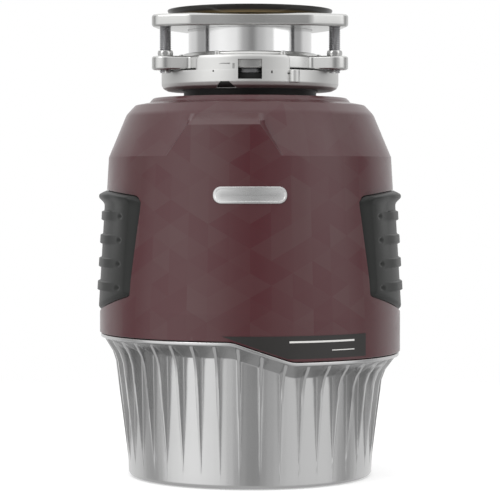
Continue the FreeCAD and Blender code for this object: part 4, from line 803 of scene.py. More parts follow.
def buildGrip(side):
    name = "gripRight" if side > 0 else "gripLeft"
    node = "right_grip" if side > 0 else "left_grip"
    face, back = [], []
    for i in range(grip["rows"] + 1):
        v = i / grip["rows"]
        faceRow, backRow = [], []
        for j in range(grip["columns"] + 1):
            u = 2 * j / grip["columns"] - 1
            u = math.copysign(abs(u) ** 0.85, u)
            rough = mix(grip["point"], grip["topMiddle"], v)
            half = gripHalf(rough)
            y = u * half
            low, high = gripOutline(y, half)
            z = mix(low, high, v)
            edge = min(half - abs(y), z - low, high - z + 1.5)
            radius = sideRadius(z) + gripRelief(y, z, max(0, edge))
            faceRow.append(gripPoint(side, y, z, radius))
            backRow.append(gripPoint(side, y, z, sideRadius(z) - grip["sunk"]))
        face.append(faceRow)
        back.append(backRow)
    piece = sheetSolid(name, face, back)
    return place(piece, "housing", "grip_rubber", looks["grip_rubber"], node)


def sheetSolid(name, face, back):
    # a front and a back grid of the same size, closed round the rim
    tall, wide = len(face), len(face[0])
    points = [Vector(p) * mm for grid in (face, back) for row in grid for p in row]
    at = lambda layer, i, j: layer * tall * wide + i * wide + j
    faces = []
    for i in range(tall - 1):
        for j in range(wide - 1):
            faces.append((at(0, i, j), at(0, i, j + 1), at(0, i + 1, j + 1), at(0, i + 1, j)))
            faces.append((at(1, i, j), at(1, i + 1, j), at(1, i + 1, j + 1), at(1, i, j + 1)))
    rim = [(0, j) for j in range(wide)] + [(i, wide - 1) for i in range(1, tall)]
    rim += [(tall - 1, j) for j in range(wide - 2, -1, -1)] + [(i, 0) for i in range(tall - 2, 0, -1)]
    for (i, j), (k, m) in zip(rim, rim[1:] + rim[:1]):
        faces.append((at(0, i, j), at(1, i, j), at(1, k, m), at(0, k, m)))
    return meshPiece(name, points, faces)


def gripCutter(side):
    # the shallow recess that the grip lies in, a little larger all round
    gap, rows, columns = 1.2, 24, 60
    inner, outer = [], []
    for i in range(rows + 1):
        v = i / rows
        innerRow, outerRow = [], []
        for j in range(columns + 1):
            u = 2 * j / columns - 1
            rough = mix(grip["point"], grip["topMiddle"], v)
            half = gripHalf(rough)
            low, high = gripOutline(u * half, half)
            y, z = u * (half + gap), mix(low - gap, high + gap * 0.4, v)
            innerRow.append(gripPoint(side, y, z, sideRadius(z) - grip["sunk"] - 0.1))
            outerRow.append(gripPoint(side, y, z, sideRadius(z) + 9))
        inner.append(innerRow)
        outer.append(outerRow)
    return sheetSolid("gripCutter", outer, inner)


_, baseHigh, baseReach = sizeOf("base_shell")
base = {
    "foot": 84.4,
    "footRound": 3.2,
    "wallTop": 86.7,                 # radius of the wall where the cove starts
    "coveLow": 86.9,                 # heights on the tall side
    "coveHigh": 95.4,
    "coveReach": 100.6,
    "rimLow": 96.2,
    "gap": 0.5,                      # shadow gap under the shroud
    "sheet": 3.0,
    "fins": 40,
    "firstFin": 4.5,                 # degrees from the front
    "finLow": 13.0,
    "finLowReach": 84.95,
    "finTop": 83.5,
    "finTopReach": 93.7,
    "finEndReach": 101.0,
    "pinned": 70.0,                  # above this height everything follows the step
    "wrenchHole": 9.0,
    # across a fin: distance from its middle in millimetres, and share of its height
    "finShape": [(0, 1), (0.7, 1), (0.95, 0.95), (1.12, 0.55), (1.25, 0.12), (1.45, 0.02), (1.8, 0),
                 (2.8, 0), (4.1, 0), (5.4, 0)],
}


def baseOutline():
    b = base
    top = baseHigh - b["gap"]
    outer = [(b["wrenchHole"], 3.0, 0.4), (b["wrenchHole"], 0, 0.6), (b["foot"], 0, b["footRound"]),
             (b["wallTop"], b["coveLow"], 1.0), (b["coveReach"], b["coveHigh"], 1.2),
             (baseReach, b["rimLow"], 0.9), (baseReach, top, 0.7), (baseReach - 4.6, top, 0.5)]
    inner = [(b["wallTop"] + 1.5, b["coveHigh"] - 1.5, 2), (b["wallTop"] - b["sheet"], b["coveLow"] - 4, 2),
             (b["foot"] - b["sheet"], 3.0, 1.5)]
    points = softOutline(outer + inner, 4)
    return divided(points, 7)


def finOuter(z, drop):
    # the outer edge of a fin at height z
    b = base
    bend = b["finTop"] - drop
    slope = (b["finTopReach"] - b["finLowReach"]) / (b["finTop"] - b["finLow"])
    if z <= bend:
        return b["finLowReach"] + slope * (z - b["finLow"])
    start = b["finLowReach"] + slope * (bend - b["finLow"])
    return mix(start, b["finEndReach"], min(1, (z - bend) / (b["coveHigh"] - b["finTop"])))


def baseColumns():
    # (angle of the fin, offset across it, share of the fin's height)
    pitch = 360 / base["fins"]
    half = base["finShape"]
    across = [(-d, share) for d, share in half[:0:-1]] + list(half)
    return [(math.radians(base["firstFin"] + pitch * i - 180), d, share)
            for i in range(base["fins"]) for d, share in across]


def buildBase():
    b = base
    outline = baseOutline()
    top = max(range(len(outline)), key=lambda i: outline[i][1])
    rows = []
    for index, point in enumerate(outline):
        r, z = point
        row = []
        for fin, offset, share in baseColumns():
            outside = index < top and r > b["foot"] - 0.5
            thin = mix(0.45, 1, min(1, max(0, (z - b["finLow"]) / 45))) if abs(offset) < 2.5 else 1
            angle = fin + offset * thin / 88
            drop = joint["high"] - jointHeight(r * math.sin(angle))
            height = z - drop * min(1, z / b["pinned"])
            radius = r
            if outside and b["finLow"] < height and z < b["coveHigh"]:
                radius = r + max(0, finOuter(height, drop) - r) * share
            row.append(fromFront(radius, angle, height))
        rows.append(row)
    piece = gridMesh("base", rows)
    carve(piece, underHoles())
    evenShading(piece)
    return place(piece, "housing", "base_silver", looks["base_silver"], "base_shell")


underside = {
    "buttonHole": 5.4, "groundHole": 2.05,       # radii
    "coverGap": 0.3,
    "screwHead": 4.3, "screwSink": 4.7, "screwDepth": 2.2,
}


def underHoles():
    # holes in the floor: reset button, cable, ground screw, cover and the four screws
    def middle(node):
        low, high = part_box(node)
        return (low.x + high.x) / 2 / mm, (low.y + high.y) / 2 / mm
    u = underside
    cable = [m for m in frame["record"]["mounts"] if m["name"] == "cable_entry"][0]
    places = [(u["buttonHole"], middle("reset_button")), (u["groundHole"], middle("ground_screw")),
              (cable["dims"]["r_mm"], (cable["pos_m"][0] / mm, cable["pos_m"][1] / mm))]
    cutters = [rodMesh("holeCutter", radius, -2, 6, centre, 0) for radius, centre in places]
    low, high = (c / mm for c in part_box("terminal_cover"))
    gap = u["coverGap"]
    cutters.append(blockMesh("holeCutter", (low.x - gap, low.y - gap, -2),
                             (high.x + gap, high.y + gap, high.z)))
    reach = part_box("base_screws")[1].x / mm - u["screwHead"]
    for i in range(4):
        centre = (reach * math.cos(math.pi / 2 * i), reach * math.sin(math.pi / 2 * i))
        cutters.append(rodMesh("holeCutter", u["screwSink"], -2, u["screwDepth"], centre, 0))
    return cutters


coveScrew = {"angle": 50, "reach": 94.6, "height": 92.0, "radius": 2.6, "drive": 1.1, "tilt": -1.1}


def buildCoveScrews():
    # a small dome-headed screw in the cove on each side of the front
    heads = []
    for side in (-1, 1):
        c = coveScrew
        outline = softOutline([(0, -3, 0), (c["radius"], -3, 0.2), (c["radius"], 0.8, 0.9),
                               (c["drive"], 1.8, 0.3), (c["drive"], 0.7, 0.1), (0, 0.7, 0)], 4)
        head = spun("coveScrewHead", outline, 28)
        angle = math.radians(c["angle"]) * side
        middle = Vector(fromFront(c["reach"], angle, c["height"]))
        middle.z -= joint["high"] - jointHeight(middle.x)
        turn = Vector(fromFront(1, angle, c["tilt"])).to_track_quat("Z", "Y").to_matrix().to_4x4()
        head.data.transform(Matrix.Translation(middle * mm) @ turn)
        heads.append(head)
    piece = joined("coveScrews", heads)
    return place(piece, "housing", "zinc_steel", looks["zinc_steel"])


label = {
    "low": sizeOf("label_band")[0], "high": sizeOf("label_band")[1],
    "leftHigh": -18.1, "leftLow": 24.6, "right": 76.4,   # seen from the front
    "sheet": 0.4, "barSheet": 0.45,
    # plain bars: (left, right, low, high)
    "bars": [(25.5, 68.5, 98.0, 99.2), (53.5, 68.5, 92.4, 93.0)],
}


def wrappedPatch(name, edges, heights, inner, outer, columns=40):
    # a thin skin round the front; edges(z) gives its left and right x, outer(z) its radius
    face, back = [], []
    for z in heights:
        left, right = edges(z)
        faceRow, backRow = [], []
        for j in range(columns + 1):
            x = mix(left, right, j / columns)
            angle = math.asin(x / shroudReach)
            for row, radius in ((faceRow, outer(z)), (backRow, inner(z))):
                row.append(fromFront(radius, angle, z))
        face.append(faceRow)
        back.append(backRow)
    return sheetSolid(name, face, back)


def buildLabel():
    def edges(z):
        t = (z - label["low"]) / (label["high"] - label["low"])
        return mix(label["leftLow"], label["leftHigh"], t), label["right"]
    heights = [mix(label["low"], label["high"], i / 6) for i in range(7)]
    band = wrappedPatch("labelBand", edges, heights, lambda z: shroudReach - 0.2,
                        lambda z: shroudReach + label["sheet"], 60)
    place(band, "housing", "label_black", looks["label_black"], "label_band")
    bars = []
    for left, right, low, high in label["bars"]:
        bars.append(wrappedPatch("bar", lambda z: (left, right), [low, high], lambda z: shroudReach,
                                 lambda z: shroudReach + label["barSheet"], 24))
    place(joined("labelBars", bars), "housing", "badge_silver", paleInk)


badge = {
    "low": sizeOf("badge")[0], "high": sizeOf("badge")[1], "half": sizeOf("badge")[2],
    "sheet": 0.9, "border": 1.3, "sink": 0.35,
}


def buildBadge():
    # a plain oblong plate with rounded ends and a raised border
    middle = (badge["low"] + badge["high"]) / 2
    end = (badge["high"] - badge["low"]) / 2
    outline = softOutline([(-badge["half"], -end, end), (badge["half"], -end, end),
                           (badge["half"], end, end), (-badge["half"], end, end)], 14)
    outline = divided(outline, 2.5)
    sheet, border, face = badge["sheet"], badge["border"], badge["sheet"] - badge["sink"]
    steps = [(0, -0.5), (0, sheet - 0.3), (0.3, sheet), (border, sheet), (border + 0.3, face),
             (end - 0.05, face)]
    rows = []
    for inset, lift in steps:
        row = []
        for p in outline:
            straight = badge["half"] - end
            core = Vector((min(straight, max(-straight, p[0])), 0))
            q = core + (Vector(p) - core) * (1 - inset / end)
            z = middle + q[1]
            radius = sideRadius(z) + lift
            angle = math.asin(q[0] / sideRadius(z))
            row.append(fromFront(radius, angle, z))
        rows.append(row)
    piece = gridMesh("badge", rows, closeRows=False)
    closeHoles(piece)
    return place(piece, "housing", "badge_silver", looks["badge_silver"], "badge")


def closeHoles(piece):
    shape = bmesh.new()
    shape.from_mesh(piece.data)
    bmesh.ops.holes_fill(shape, edges=[e for e in shape.edges if e.is_boundary], sides=0)
    bmesh.ops.recalc_face_normals(shape, faces=shape.faces)
    shape.to_mesh(piece.data)
    shape.free()
    shadeSoft(piece)


plateLow, plateHigh, _ = sizeOf("backup_flange")
ringLow, ringHigh, _ = sizeOf("upper_mounting_ring")
lockLow, lockHigh, _ = sizeOf("lower_mounting_ring")
neckLow, neckHigh, rimReach = sizeOf("sink_flange")
mount = {
    "neck": 42.6, "neckBore": 40.4, "bore": 43.2,
    "lugReach": 66.2, "lugEnd": 9.2,
    "plateMiddle": 52.7, "plateBend": (60.4, 22.5), "plateFlare": 0.79,
    "ringRadius": 56.2, "ringFlare": 0.25,   # how far the flanks of a lug open towards the round
    "ringBody": 287.8,               # top of the mounting ring without its collar
    "collar": 46.5,
    "root": 5.0,                     # fillet where a lug meets the round
    "lugAngles": [-30, -150, 90],    # degrees from the x axis
}


def luggedOutline(radius, flare):
    # a circle with three lugs, each a rounded end between two flanks that open towards the circle
    m, corners = mount, []
    slope = math.sqrt(1 - flare * flare)
    along, side = m["lugReach"] + m["lugEnd"] * flare, m["lugEnd"] * slope
    half = -along * slope + side * flare
    run = -half - math.sqrt(half * half - (along * along + side * side - radius * radius))
    rootAngle = math.atan2(side + run * flare, along - run * slope)
    tipTurn = math.acos(flare)
    for lug in sorted(m["lugAngles"]):
        axis = math.radians(lug)
        onRound = lambda a, soft=0: (radius * math.cos(axis + a), radius * math.sin(axis + a), soft)
        corners.append(onRound(-rootAngle, m["root"]))
        for i in range(15):
            a = axis + tipTurn * (i / 7 - 1)
            corners.append((m["lugReach"] * math.cos(axis) + m["lugEnd"] * math.cos(a),
                            m["lugReach"] * math.sin(axis) + m["lugEnd"] * math.sin(a), 0))
        corners.append(onRound(rootAngle, m["root"]))
        free = 2 * math.pi / 3 - 2 * rootAngle
        gap = min(0.07, free / 5)
        corners += [onRound(rootAngle + gap + (free - 2 * gap) * i / 16) for i in range(17)]
    return divided(softOutline(corners, 8), 3)


def plateOutline():
    # a triangle with nearly flat sides; each of its corners narrows to a lug
    m, corners = mount, []
    tipTurn = math.acos(m["plateFlare"])
    along, side = m["plateBend"]
    for lug in sorted(m["lugAngles"]):
        turned = lambda x, y, soft, a=math.radians(lug): (
            x * math.cos(a) - y * math.sin(a), x * math.sin(a) + y * math.cos(a), soft)
        corners.append(turned(along, -side, 14))
        for i in range(15):
            a = tipTurn * (i / 7 - 1)
            corners.append(turned(m["lugReach"] + m["lugEnd"] * math.cos(a), m["lugEnd"] * math.sin(a), 0))
        corners.append(turned(along, side, 14))
        corners.append(turned(m["plateMiddle"] / 2, m["plateMiddle"] * math.sqrt(0.75), 250))
    return divided(softOutline(corners, 8), 3)


def insetOutline(points, amount):
    out = []
    for i, p in enumerate(points):
        along = (points[(i + 1) % len(points)] - points[i - 1]).normalized()
        out.append(p + Vector((-along[1], along[0])) * amount)
    return out


def plateRows(outline, bore, low, high, edge, inner=()):
    # section of a plate from its bore out and back; inner holds more (radius, height) points near the bore
    rows = []
    steps = 4
    insets = []
    for i in range(steps + 1):
        a = math.pi / 2 * i / steps
        insets.append((edge * (1 - math.sin(a)), low + edge * (1 - math.cos(a))))
    section = insets + [(inset, high + low - z) for inset, z in reversed(insets)]
    for inset, z in section:
        rows.append([(p[0], p[1], z) for p in insetOutline(outline, inset)])
    angles = [math.atan2(p[1], p[0]) for p in outline]
    ring = lambda radius, z: [(radius * math.cos(a), radius * math.sin(a), z) for a in angles]
    for radius, z in inner:
        rows.append(ring(radius, z))
    rows.append(ring(bore + 0.5, high if not inner else inner[-1][1]))
    rows.append(ring(bore, (high if not inner else inner[-1][1]) - 0.5))
    rows.append(ring(bore, low + 0.5))
    rows.append(ring(bore + 0.5, low))
    return rows


def buildBackupFlange():
    outline = plateOutline()
    piece = gridMesh("backupFlange", plateRows(outline, mount["bore"], plateLow, plateHigh, 1.9))
    evenShading(piece)
    return place(piece, "housing", "chrome_mount", looks["chrome_mount"], "backup_flange")


def buildMountingRing():
    m = mount
    outline = luggedOutline(m["ringRadius"], m["ringFlare"])
    foot, top = m["ringBody"], ringHigh
    collar = [(m["collar"] + 2.4, foot), (m["collar"] + 1.2, foot + 0.35), (m["collar"] + 0.5, foot + 1.2),
              (m["collar"] + 0.3, top - 1.0), (m["collar"] - 0.2, top - 0.3), (m["collar"] - 1.0, top)]
    piece = gridMesh("mountingRing", plateRows(outline, m["bore"], ringLow, foot, 1.6, collar))
    tabs = [ringTab(math.radians(a)) for a in (-118, -62, 2, 58, 122, 178)]
    piece = joined("mountingRing", [piece] + tabs)
    evenShading(piece)
    return place(piece, "housing", "chrome_mount", looks["chrome_mount"], "upper_mounting_ring")


def ringTab(angle):
    # a small rounded key on the collar
    tab = rodMesh("ringTab", 1.9, mount["ringBody"] - 0.5, ringHigh, edge=0.7, turns=24)
    reach = mount["collar"] + 1.0
    middle = Vector((reach * math.cos(angle), reach * math.sin(angle), 0))
    tab.data.transform(Matrix.Translation(middle * mm))
    return tab


screw = {
    "radius": 4.0, "pitch": 1.25, "depth": 0.55,
    "slot": 1.4, "slotDeep": 1.6,                # driver's slot in the lower end
    "columns": 28, "stepsPerTurn": 8,
}


def buildScrews():
    low, high, _ = sizeOf("backup_screws")
    shafts = []
    for angle in mount["lugAngles"]:
        a = math.radians(angle)
        middle = (mount["lugReach"] * math.cos(a), mount["lugReach"] * math.sin(a))
        count = int((high - low) / screw["pitch"] * screw["stepsPerTurn"])
        rows = []
        for i in range(count + 1):
            z = mix(low, high, i / count)
            row = []
            for j in range(screw["columns"]):
                t = 2 * math.pi * j / screw["columns"]
                phase = (z / screw["pitch"] - j / screw["columns"]) % 1
                cut = 2 * abs(phase - 0.5)
                ends = easeStep(low, low + 1.2, z) * (1 - easeStep(high - 0.8, high, z))
                radius = screw["radius"] - screw["depth"] * (1 - (1 - cut) * ends)
                row.append((middle[0] + radius * math.cos(t), middle[1] + radius * math.sin(t), z))
            rows.append(row)
        shaft = gridMesh("screwShaft", rows, closeRows=False)
        closeHoles(shaft)
        x, y, half = *middle, screw["slot"] / 2
        slot = blockMesh("slotCutter", (x - half, y - 6, low - 1),
                         (x + half, y + 6, low + screw["slotDeep"]))
        shafts.append(carve(shaft, [slot]))
    piece = joined("mountScrews", shafts)
    return place(piece, "housing", "zinc_steel", looks["zinc_steel"], "backup_screws")


nut = {"bore": 3.95, "flat": 4.9, "widest": 5.3}     # radii


def buildNuts():
    low, high, _ = sizeOf("jam_nuts")
    bore, flat, widest = nut["bore"], nut["flat"], nut["widest"]
    outline = softOutline([(bore, low, 0.2), (widest - 0.25, low, 0.5), (widest, (low + high) / 2, 3),
                           (widest - 0.4, high, 0.9), (bore, high, 0.3)], 5)
    nuts = []
    for angle in mount["lugAngles"]:
        a = math.radians(angle)
        one = spun("jamNut", outline, 6 * 12)
        for vertex in one.data.vertices:
            # six shallow flats
            t = math.atan2(vertex.co.y, vertex.co.x)
            reach = math.hypot(vertex.co.x, vertex.co.y)
            if reach > 4.6 * mm:
                side = flat * mm / max(0.866, math.cos((t % (math.pi / 3)) - math.pi / 6))
                k = min(1, side / reach)
                vertex.co.x *= k
                vertex.co.y *= k
        middle = Vector((mount["lugReach"] * math.cos(a), mount["lugReach"] * math.sin(a), 0))
        one.data.transform(Matrix.Translation(middle * mm))
        nuts.append(one)
    piece = joined("jamNuts", nuts)
    return place(piece, "housing", "chrome_mount", looks["chrome_mount"], "jam_nuts")


def buildSinkFlange():
    m, edge = mount, rimReach - 0.9
    outline = softOutline([
        (m["neckBore"], neckLow, 0.5), (m["neck"], neckLow, 0.5), (m["neck"], plateHigh + 0.3, 3),
        (edge - 0.6, neckHigh - 1.5, 1), (edge, neckHigh - 0.9, 0.4), (edge - 0.5, neckHigh, 0.5),
        (m["neck"] + 1.5, plateHigh + 2.2, 6), (m["neckBore"], plateHigh - 3, 5)], 6)
    piece = spun("sinkFlange", divided(outline, 5), 220)
    evenShading(piece)
    return place(piece, "housing", "chrome_mount", drawnSteel, "sink_flange")


def buildFibreGasket():
    low, high, reach = sizeOf("fibre_gasket")
    # its lip wraps the edge of the flange, so the rim's edge shows the gasket's painted dark reflection
    lip, inside = rimReach - 0.05, rimReach - 0.75
    outline = softOutline([
        (mount["bore"] + 1, low, 0.3), (reach - 3.4, low, 0.5), (lip - 0.9, high - 0.9, 1.8),
        (lip, high + 0.4, 0.6), (lip, neckHigh - 0.1, 0.3), (inside, neckHigh - 0.1, 0.2),
        (inside, high - 0.2, 0.2), (mount["bore"] + 1, low + 0.7, 0.2)], 5)
    piece = spun("fibreGasket", divided(outline, 1.5), 220)
    return place(piece, "housing", "gasket_fibre", looks["gasket_fibre"], "fibre_gasket")


def buildMountGasket():
    low, high, reach = sizeOf("mounting_gasket")
    hopperHigh = sizeOf("hopper")[1]
    lipLow = hopperHigh - 1.5
    shelf = 268.6
    outline = softOutline([
        (43.1, low, 0.4), (45.9, low, 0.9), (45.9, shelf, 0.6), (reach, shelf, 0.6), (reach, high, 0.9),
        (42.9, high, 0.4), (42.9, neckLow, 0.2), (41.4, neckLow, 0.2), (41.4, hopperHigh + 0.7, 0.2),
        (37.5, hopperHigh + 0.7, 0.4), (37.5, hopperHigh - 6, 0.6), (41.3, hopperHigh - 6, 0.6),
        (41.3, hopperHigh + 0.1, 0.2), (50.1, hopperHigh + 0.1, 0.2), (50.1, lipLow - 0.1, 0.2),
        (43.1, lipLow - 0.1, 0.2)], 4)
    piece = spun("mountGasket", outline, 160)
    return place(piece, "housing", "black_rubber", looks["black_rubber"], "mounting_gasket")


lock = {
    "reach": 61.3, "bore": 47.2, "wallIn": 57.0, "shelf": 268.3, "lowWall": 277.9,
    "rampFrom": -36.6, "rampTo": 26.0,           # degrees from the middle of a window
    "windowHalf": 8.0, "windowLow": 271.2, "windowHigh": 284.4,
    # small stamped marks on the wall: (x, z, width, height)
    "marks": [(-17.0, 281.5, 7.6, 0.7), (-10.9, 279.8, 1.5, 3.4), (-24.5, 276.6, 1.0, 1.0),
              (14.6, 275.8, 0.9, 1.8), (27.0, 275.0, 4.0, 1.0)],
    "notchTurn": -16.0, "notchLow": 7.0, "notchTop": 3.0, "notchTall": 4.2,    # notch in the lower edge, filled with a black block as painted shade
    "shadeFillDeep": 5.5,
    "loopAngle": 28.7, "loopRadius": 3.6, "loopBore": 1.8,
}


def buildLockRing():
    k = lock
    outer = k["reach"]
    outline = softOutline([
        (k["bore"], lockLow, 0.5), (outer - 4.2, lockLow, 1.2), (outer - 1.2, lockLow + 1.6, 2),
        (outer, lockLow + 4.2, 2), (outer, k["lowWall"], 0.7), (k["wallIn"] + 0.8, k["lowWall"], 0.6),
        (k["wallIn"] + 0.8, k["shelf"], 0.4), (k["bore"], k["shelf"], 0.4)], 5)
    turns = [math.radians(t) for t in (0, 120, 240)]
    cutters = [c for t in turns for c in wallCutters(t) + [notchCutter(t)]]
    pieces = [carve(spun("lockBody", divided(outline, 6), 240), cutters)]
    pieces += [carve(lockRamp(t), wallCutters(t)) for t in turns]
    pieces += [wrenchLoop(t + math.radians(k["loopAngle"])) for t in (0, math.pi)]
    ring = joined("lockRing", pieces)
    evenShading(ring)
    place(ring, "locking_ring", "chrome_mount", satinSteel, "lower_mounting_ring")
    # black blocks in the three notches: painted shade for the shadowed gasket seen through them
    shadeFills = joined("notchShadeFills", [notchShadeFill(t) for t in turns])
    place(shadeFills, "locking_ring", "black_rubber", looks["black_rubber"])


def wallCutters(turn):
    # the window and the small marks round it
    k, outer = lock, lock["reach"]
    cutters = [blockMesh("windowCutter", (-k["windowHalf"], -outer - 4, k["windowLow"]),
                         (k["windowHalf"], -k["wallIn"] + 6, k["windowHigh"]))]
    for x, z, wide, tall in k["marks"]:
        cutters.append(blockMesh("markCutter", (x - wide / 2, -outer - 3, z - tall / 2),
                                 (x + wide / 2, -math.sqrt(outer ** 2 - x ** 2) + 1.0, z + tall / 2)))
    for cutter in cutters:
        cutter.data.transform(Matrix.Rotation(turn, 4, "Z"))
    return cutters


def notchCutter(turn):
    k, outer = lock, lock["reach"]
    half = k["notchLow"] + 2 * (k["notchLow"] - k["notchTop"]) / k["notchTall"]
    front, high = -outer - 3, lockLow + k["notchTall"]
    cutter = prismMesh("notchCutter", [
        (-half, front, lockLow - 2), (-k["notchTop"], front, high), (k["notchTop"], front, high),
        (half, front, lockLow - 2)], (0, 7.5, 0))
    cutter.data.transform(Matrix.Rotation(turn + math.radians(k["notchTurn"]), 4, "Z"))
    return cutter


def notchShadeFill(turn):
    # a black block that lies in its notch, a little behind the metal: painted shade standing in for the
    # shadowed black gasket seen through the notch
    k, outer = lock, lock["reach"]
    face, back = [], []
    for i in range(9):
        t = i / 8
        z = mix(lockLow + 0.15, lockLow + k["notchTall"] - 0.1, t)
        half = mix(k["notchLow"], k["notchTop"], t) - 0.1
        reach = outer - 0.5 - 3.6 * (1 - t) ** 2.2
        angles = [turn + math.radians(k["notchTurn"]) + half * (2 * j / 10 - 1) / outer for j in range(11)]
        face.append([fromFront(reach, a, z) for a in angles])
        back.append([fromFront(outer - k["shadeFillDeep"], a, z) for a in angles])
    return sheetSolid("notchShadeFill", face, back)


def lockRamp(turn):
    # a raised part of the wall with rounded ends
    k, outer = lock, lock["reach"]
    low = k["lowWall"] - 3
    middle, half = (k["rampTo"] + k["rampFrom"]) / 2, (k["rampTo"] - k["rampFrom"]) / 2
    face, back = [], []
    rows, columns = 14, 64
    for i in range(rows + 1):
        faceRow, backRow = [], []
        for j in range(columns + 1):
            u = 2 * j / columns - 1
            top = lockHigh - 0.05 - 1.2 * easeStep(0.93, 1.0, abs(u)) - 0.25 * u * u
            z = mix(low, top, i / rows)
            angle = turn + math.radians(middle + u * (half - 0.8 * easeStep(lockHigh - 3, lockHigh, z)))
            crown = 0.5 * easeStep(top - 1.2, top, z)
            inset = 0.03 + crown + 0.4 * easeStep(0.985, 1.0, abs(u))
            faceRow.append(fromFront(outer - inset, angle, z))
            backRow.append(fromFront(k["wallIn"] + crown, angle, z))
        face.append(faceRow)
        back.append(backRow)
    return sheetSolid("lockRamp", face, back)


def wrenchLoop(angle):
    k, outer = lock, lock["reach"]
    low, high = lockLow + 3.4, k["lowWall"] - 0.2
    outline = softOutline([(k["loopBore"], low, 0.3), (k["loopRadius"], low, 0.8),
                           (k["loopRadius"], high, 0.8), (k["loopBore"], high, 0.4)], 4)
    return spun("wrenchLoop", outline, 36, fromFront(outer + 0.6, angle, 0)[:2])


def buildMount():
    buildSinkFlange()
    buildFibreGasket()
    buildBackupFlange()
    buildMountingRing()
    buildScrews()
    buildNuts()
    buildLockRing()
    buildMountGasket()


baffle = {"flaps": 8, "slit": 1.6, "hole": 13.0, "sheet": 2.2, "columns": 10}


def buildBaffle():
    # a rubber funnel whose flaps sag a little towards the hole
    low, high, reach = sizeOf("splash_baffle")
    pieces = []
    section = softOutline([(reach - 4.5, high - 1, 0.2), (reach, high - 1, 0.3), (reach, high, 0.4),
                           (reach - 5, high, 0.8), (reach - 8, high - 5, 2), (reach - 8.6, high - 7.5, 0.4),
                           (reach - 6.6, high - 7.5, 0.4)], 4)
    pieces.append(spun("baffleRim", section, 128))
    for i in range(baffle["flaps"]):
        middle = 2 * math.pi * (i + 0.5) / baffle["flaps"]
        face, back = [], []
        for r in [mix(baffle["hole"], reach - 6.8, k / 12) for k in range(13)]:
            t = (r - baffle["hole"]) / (reach - 6.8 - baffle["hole"])
            half = math.pi / baffle["flaps"] - math.asin(baffle["slit"] / 2 / r)
            faceRow, backRow = [], []
            for j in range(baffle["columns"] + 1):
                u = 2 * j / baffle["columns"] - 1
                angle = middle + u * half
                z = mix(low + baffle["sheet"], high - 6.0, t ** 1.5) - 0.8 * u * u * (1 - t)
                faceRow.append((r * math.cos(angle), r * math.sin(angle), z))
                backRow.append((r * math.cos(angle), r * math.sin(angle), max(low, z - baffle["sheet"])))
            face.append(faceRow)
            back.append(backRow)
        pieces.append(sheetSolid("baffleFlap", face, back))
    piece = joined("splashBaffle", pieces)
    return place(piece, "baffle", "black_rubber", looks["black_rubber"], "splash_baffle")


buildShroud()
print("shroud built")
buildBase()
buildCoveScrews()
print("base built")
buildGrip(1)
buildGrip(-1)
buildLabel()
buildBadge()
print("grips, label and badge built")
buildMount()
buildBaffle()
print("sink mount built")


studio = {
    "floor": 0.86,
    "floorReach": 6,
    "floorLift": 0.30,               # a little light of its own, so that it meets the white behind it
    "fadeStart": 0.30, "fadeEnd": 0.75,
    "white": 1.0,
    "key": 7.0,
    "fill": 3.0,
    "sky": 0.95,
    # brightness round the room: (turn from the camera in degrees, grey)
    "sweep": [(-180, 0.95), (-125, 0.80), (-110, 0.46), (-96, 0.42), (-82, 1.02), (-55, 1.18), (-28, 1.02),
              (-10, 0.46), (4, 0.27), (18, 0.56), (38, 0.82), (82, 0.88), (94, 0.42), (106, 0.42),
              (120, 0.82), (180, 0.95)],
}


def buildFloor():
    outline = [fromFront(studio["floorReach"], 2 * math.pi * i / 64, 0) for i in range(64)]
    mesh = bpy.data.meshes.new("floor")
    mesh.from_pydata(outline, [], [tuple(range(64))])
    floor = bpy.data.objects.new("floor", mesh)
    bpy.context.scene.collection.objects.link(floor)
    floor.location.z = -0.0004
    floor.visible_glossy = False
    material, n, shader = startMaterial("floorPaper")
    shader.inputs["Base Color"].default_value = (studio["floor"],) * 3 + (1,)
    shader.inputs["Roughness"].default_value = 0.9
    shader.inputs["Specular IOR Level"].default_value = 0.0
    shader.inputs["Emission Color"].default_value = (1, 1, 1, 1)
    shader.inputs["Emission Strength"].default_value = studio["floorLift"]
    spot = n.add("ShaderNodeTexCoord").outputs["Object"]
    away = n.add("ShaderNodeVectorMath", {0: spot}, operation="LENGTH").outputs["Value"]
    fade = n.add("ShaderNodeMapRange", {0: away, 1: studio["fadeEnd"], 2: studio["fadeStart"]},
                 interpolation_type="SMOOTHSTEP")
    n.feed(shader.inputs["Alpha"], fade)
    floor.data.materials.append(material)


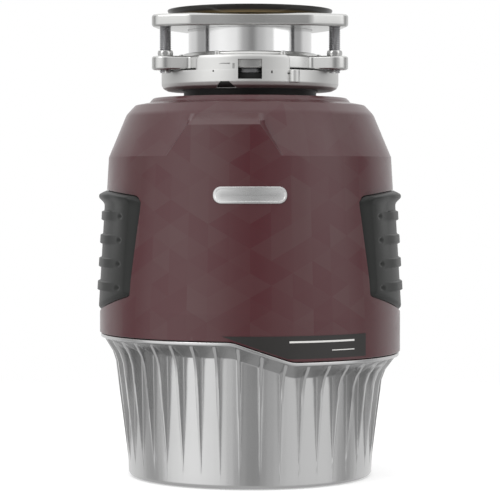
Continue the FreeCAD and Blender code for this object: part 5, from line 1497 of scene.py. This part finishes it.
def buildSky():
    world = bpy.data.worlds.new("studio")
    bpy.context.scene.world = world
    world.use_nodes = True
    n = Nodes(world.node_tree)
    world.node_tree.nodes.clear()
    way = n.add("ShaderNodeSeparateXYZ", {0: n.add("ShaderNodeTexCoord").outputs["Generated"]})
    turn = n.math("ARCTAN2", way.outputs[0], n.math("MULTIPLY", way.outputs[1], -1.0))
    share = n.math("ADD", n.math("DIVIDE", turn, 2 * math.pi), 0.5)
    stops = [((a + 180) / 360, (g * 0.8, g * 0.8, g * 0.8)) for a, g in studio["sweep"]]
    sweep = n.ramp(share, stops, "EASE")
    height = n.add("ShaderNodeMapRange", {0: way.outputs[2], 1: 0.3, 2: 0.68})
    level = n.blend(height, sweep.outputs[0], (1.0, 1.0, 1.0, 1))
    depth = n.add("ShaderNodeMapRange", {0: way.outputs[2], 1: -0.25, 2: -0.55})
    shade = n.blend(depth, level, (0.45, 0.45, 0.45, 1))
    lit = n.add("ShaderNodeBackground", {"Color": shade, "Strength": studio["sky"] / 0.8})
    plain = n.add("ShaderNodeBackground", {"Color": (1, 1, 1, 1), "Strength": studio["white"]})
    seen = n.add("ShaderNodeLightPath").outputs["Is Camera Ray"]
    both = n.add("ShaderNodeMixShader", {0: seen, 1: lit, 2: plain})
    n.add("ShaderNodeOutputWorld", {0: both})


def addLight(name, power, size, where, aim=(0, 0, 0.16)):
    lamp = bpy.data.lights.new(name, "AREA")
    lamp.energy = power
    lamp.shape = "SQUARE"
    lamp.size = size
    thing = bpy.data.objects.new(name, lamp)
    thing.location = where
    thing.rotation_euler = (Vector(aim) - Vector(where)).to_track_quat("-Z", "Y").to_euler()
    bpy.context.scene.collection.objects.link(thing)


camera = {
    "distance": 1.46,                # from the motor axis
    "height": 0.200,                 # eye level
    "tilt": 1.75,                    # degrees down
    "lens": 151.2,
    "sensor": 36.0,
}


def buildCamera():
    data = bpy.data.cameras.new("camera")
    data.lens = camera["lens"]
    data.sensor_width = camera["sensor"]
    data.dof.use_dof = False
    data.clip_start = 0.05
    data.clip_end = 50
    eye = bpy.data.objects.new("camera", data)
    eye.location = (0, -camera["distance"], camera["height"])
    eye.rotation_euler = (math.radians(90 - camera["tilt"]), 0, 0)
    bpy.context.scene.collection.objects.link(eye)
    bpy.context.scene.camera = eye


buildFloor()
buildSky()
addLight("key", studio["key"], 0.9, (-1.3, -1.2, 1.3))
addLight("fill", studio["fill"], 1.2, (1.6, -0.9, 0.9))
buildCamera()
bpy.context.scene.view_settings.view_transform = "Standard"
print("studio ready")
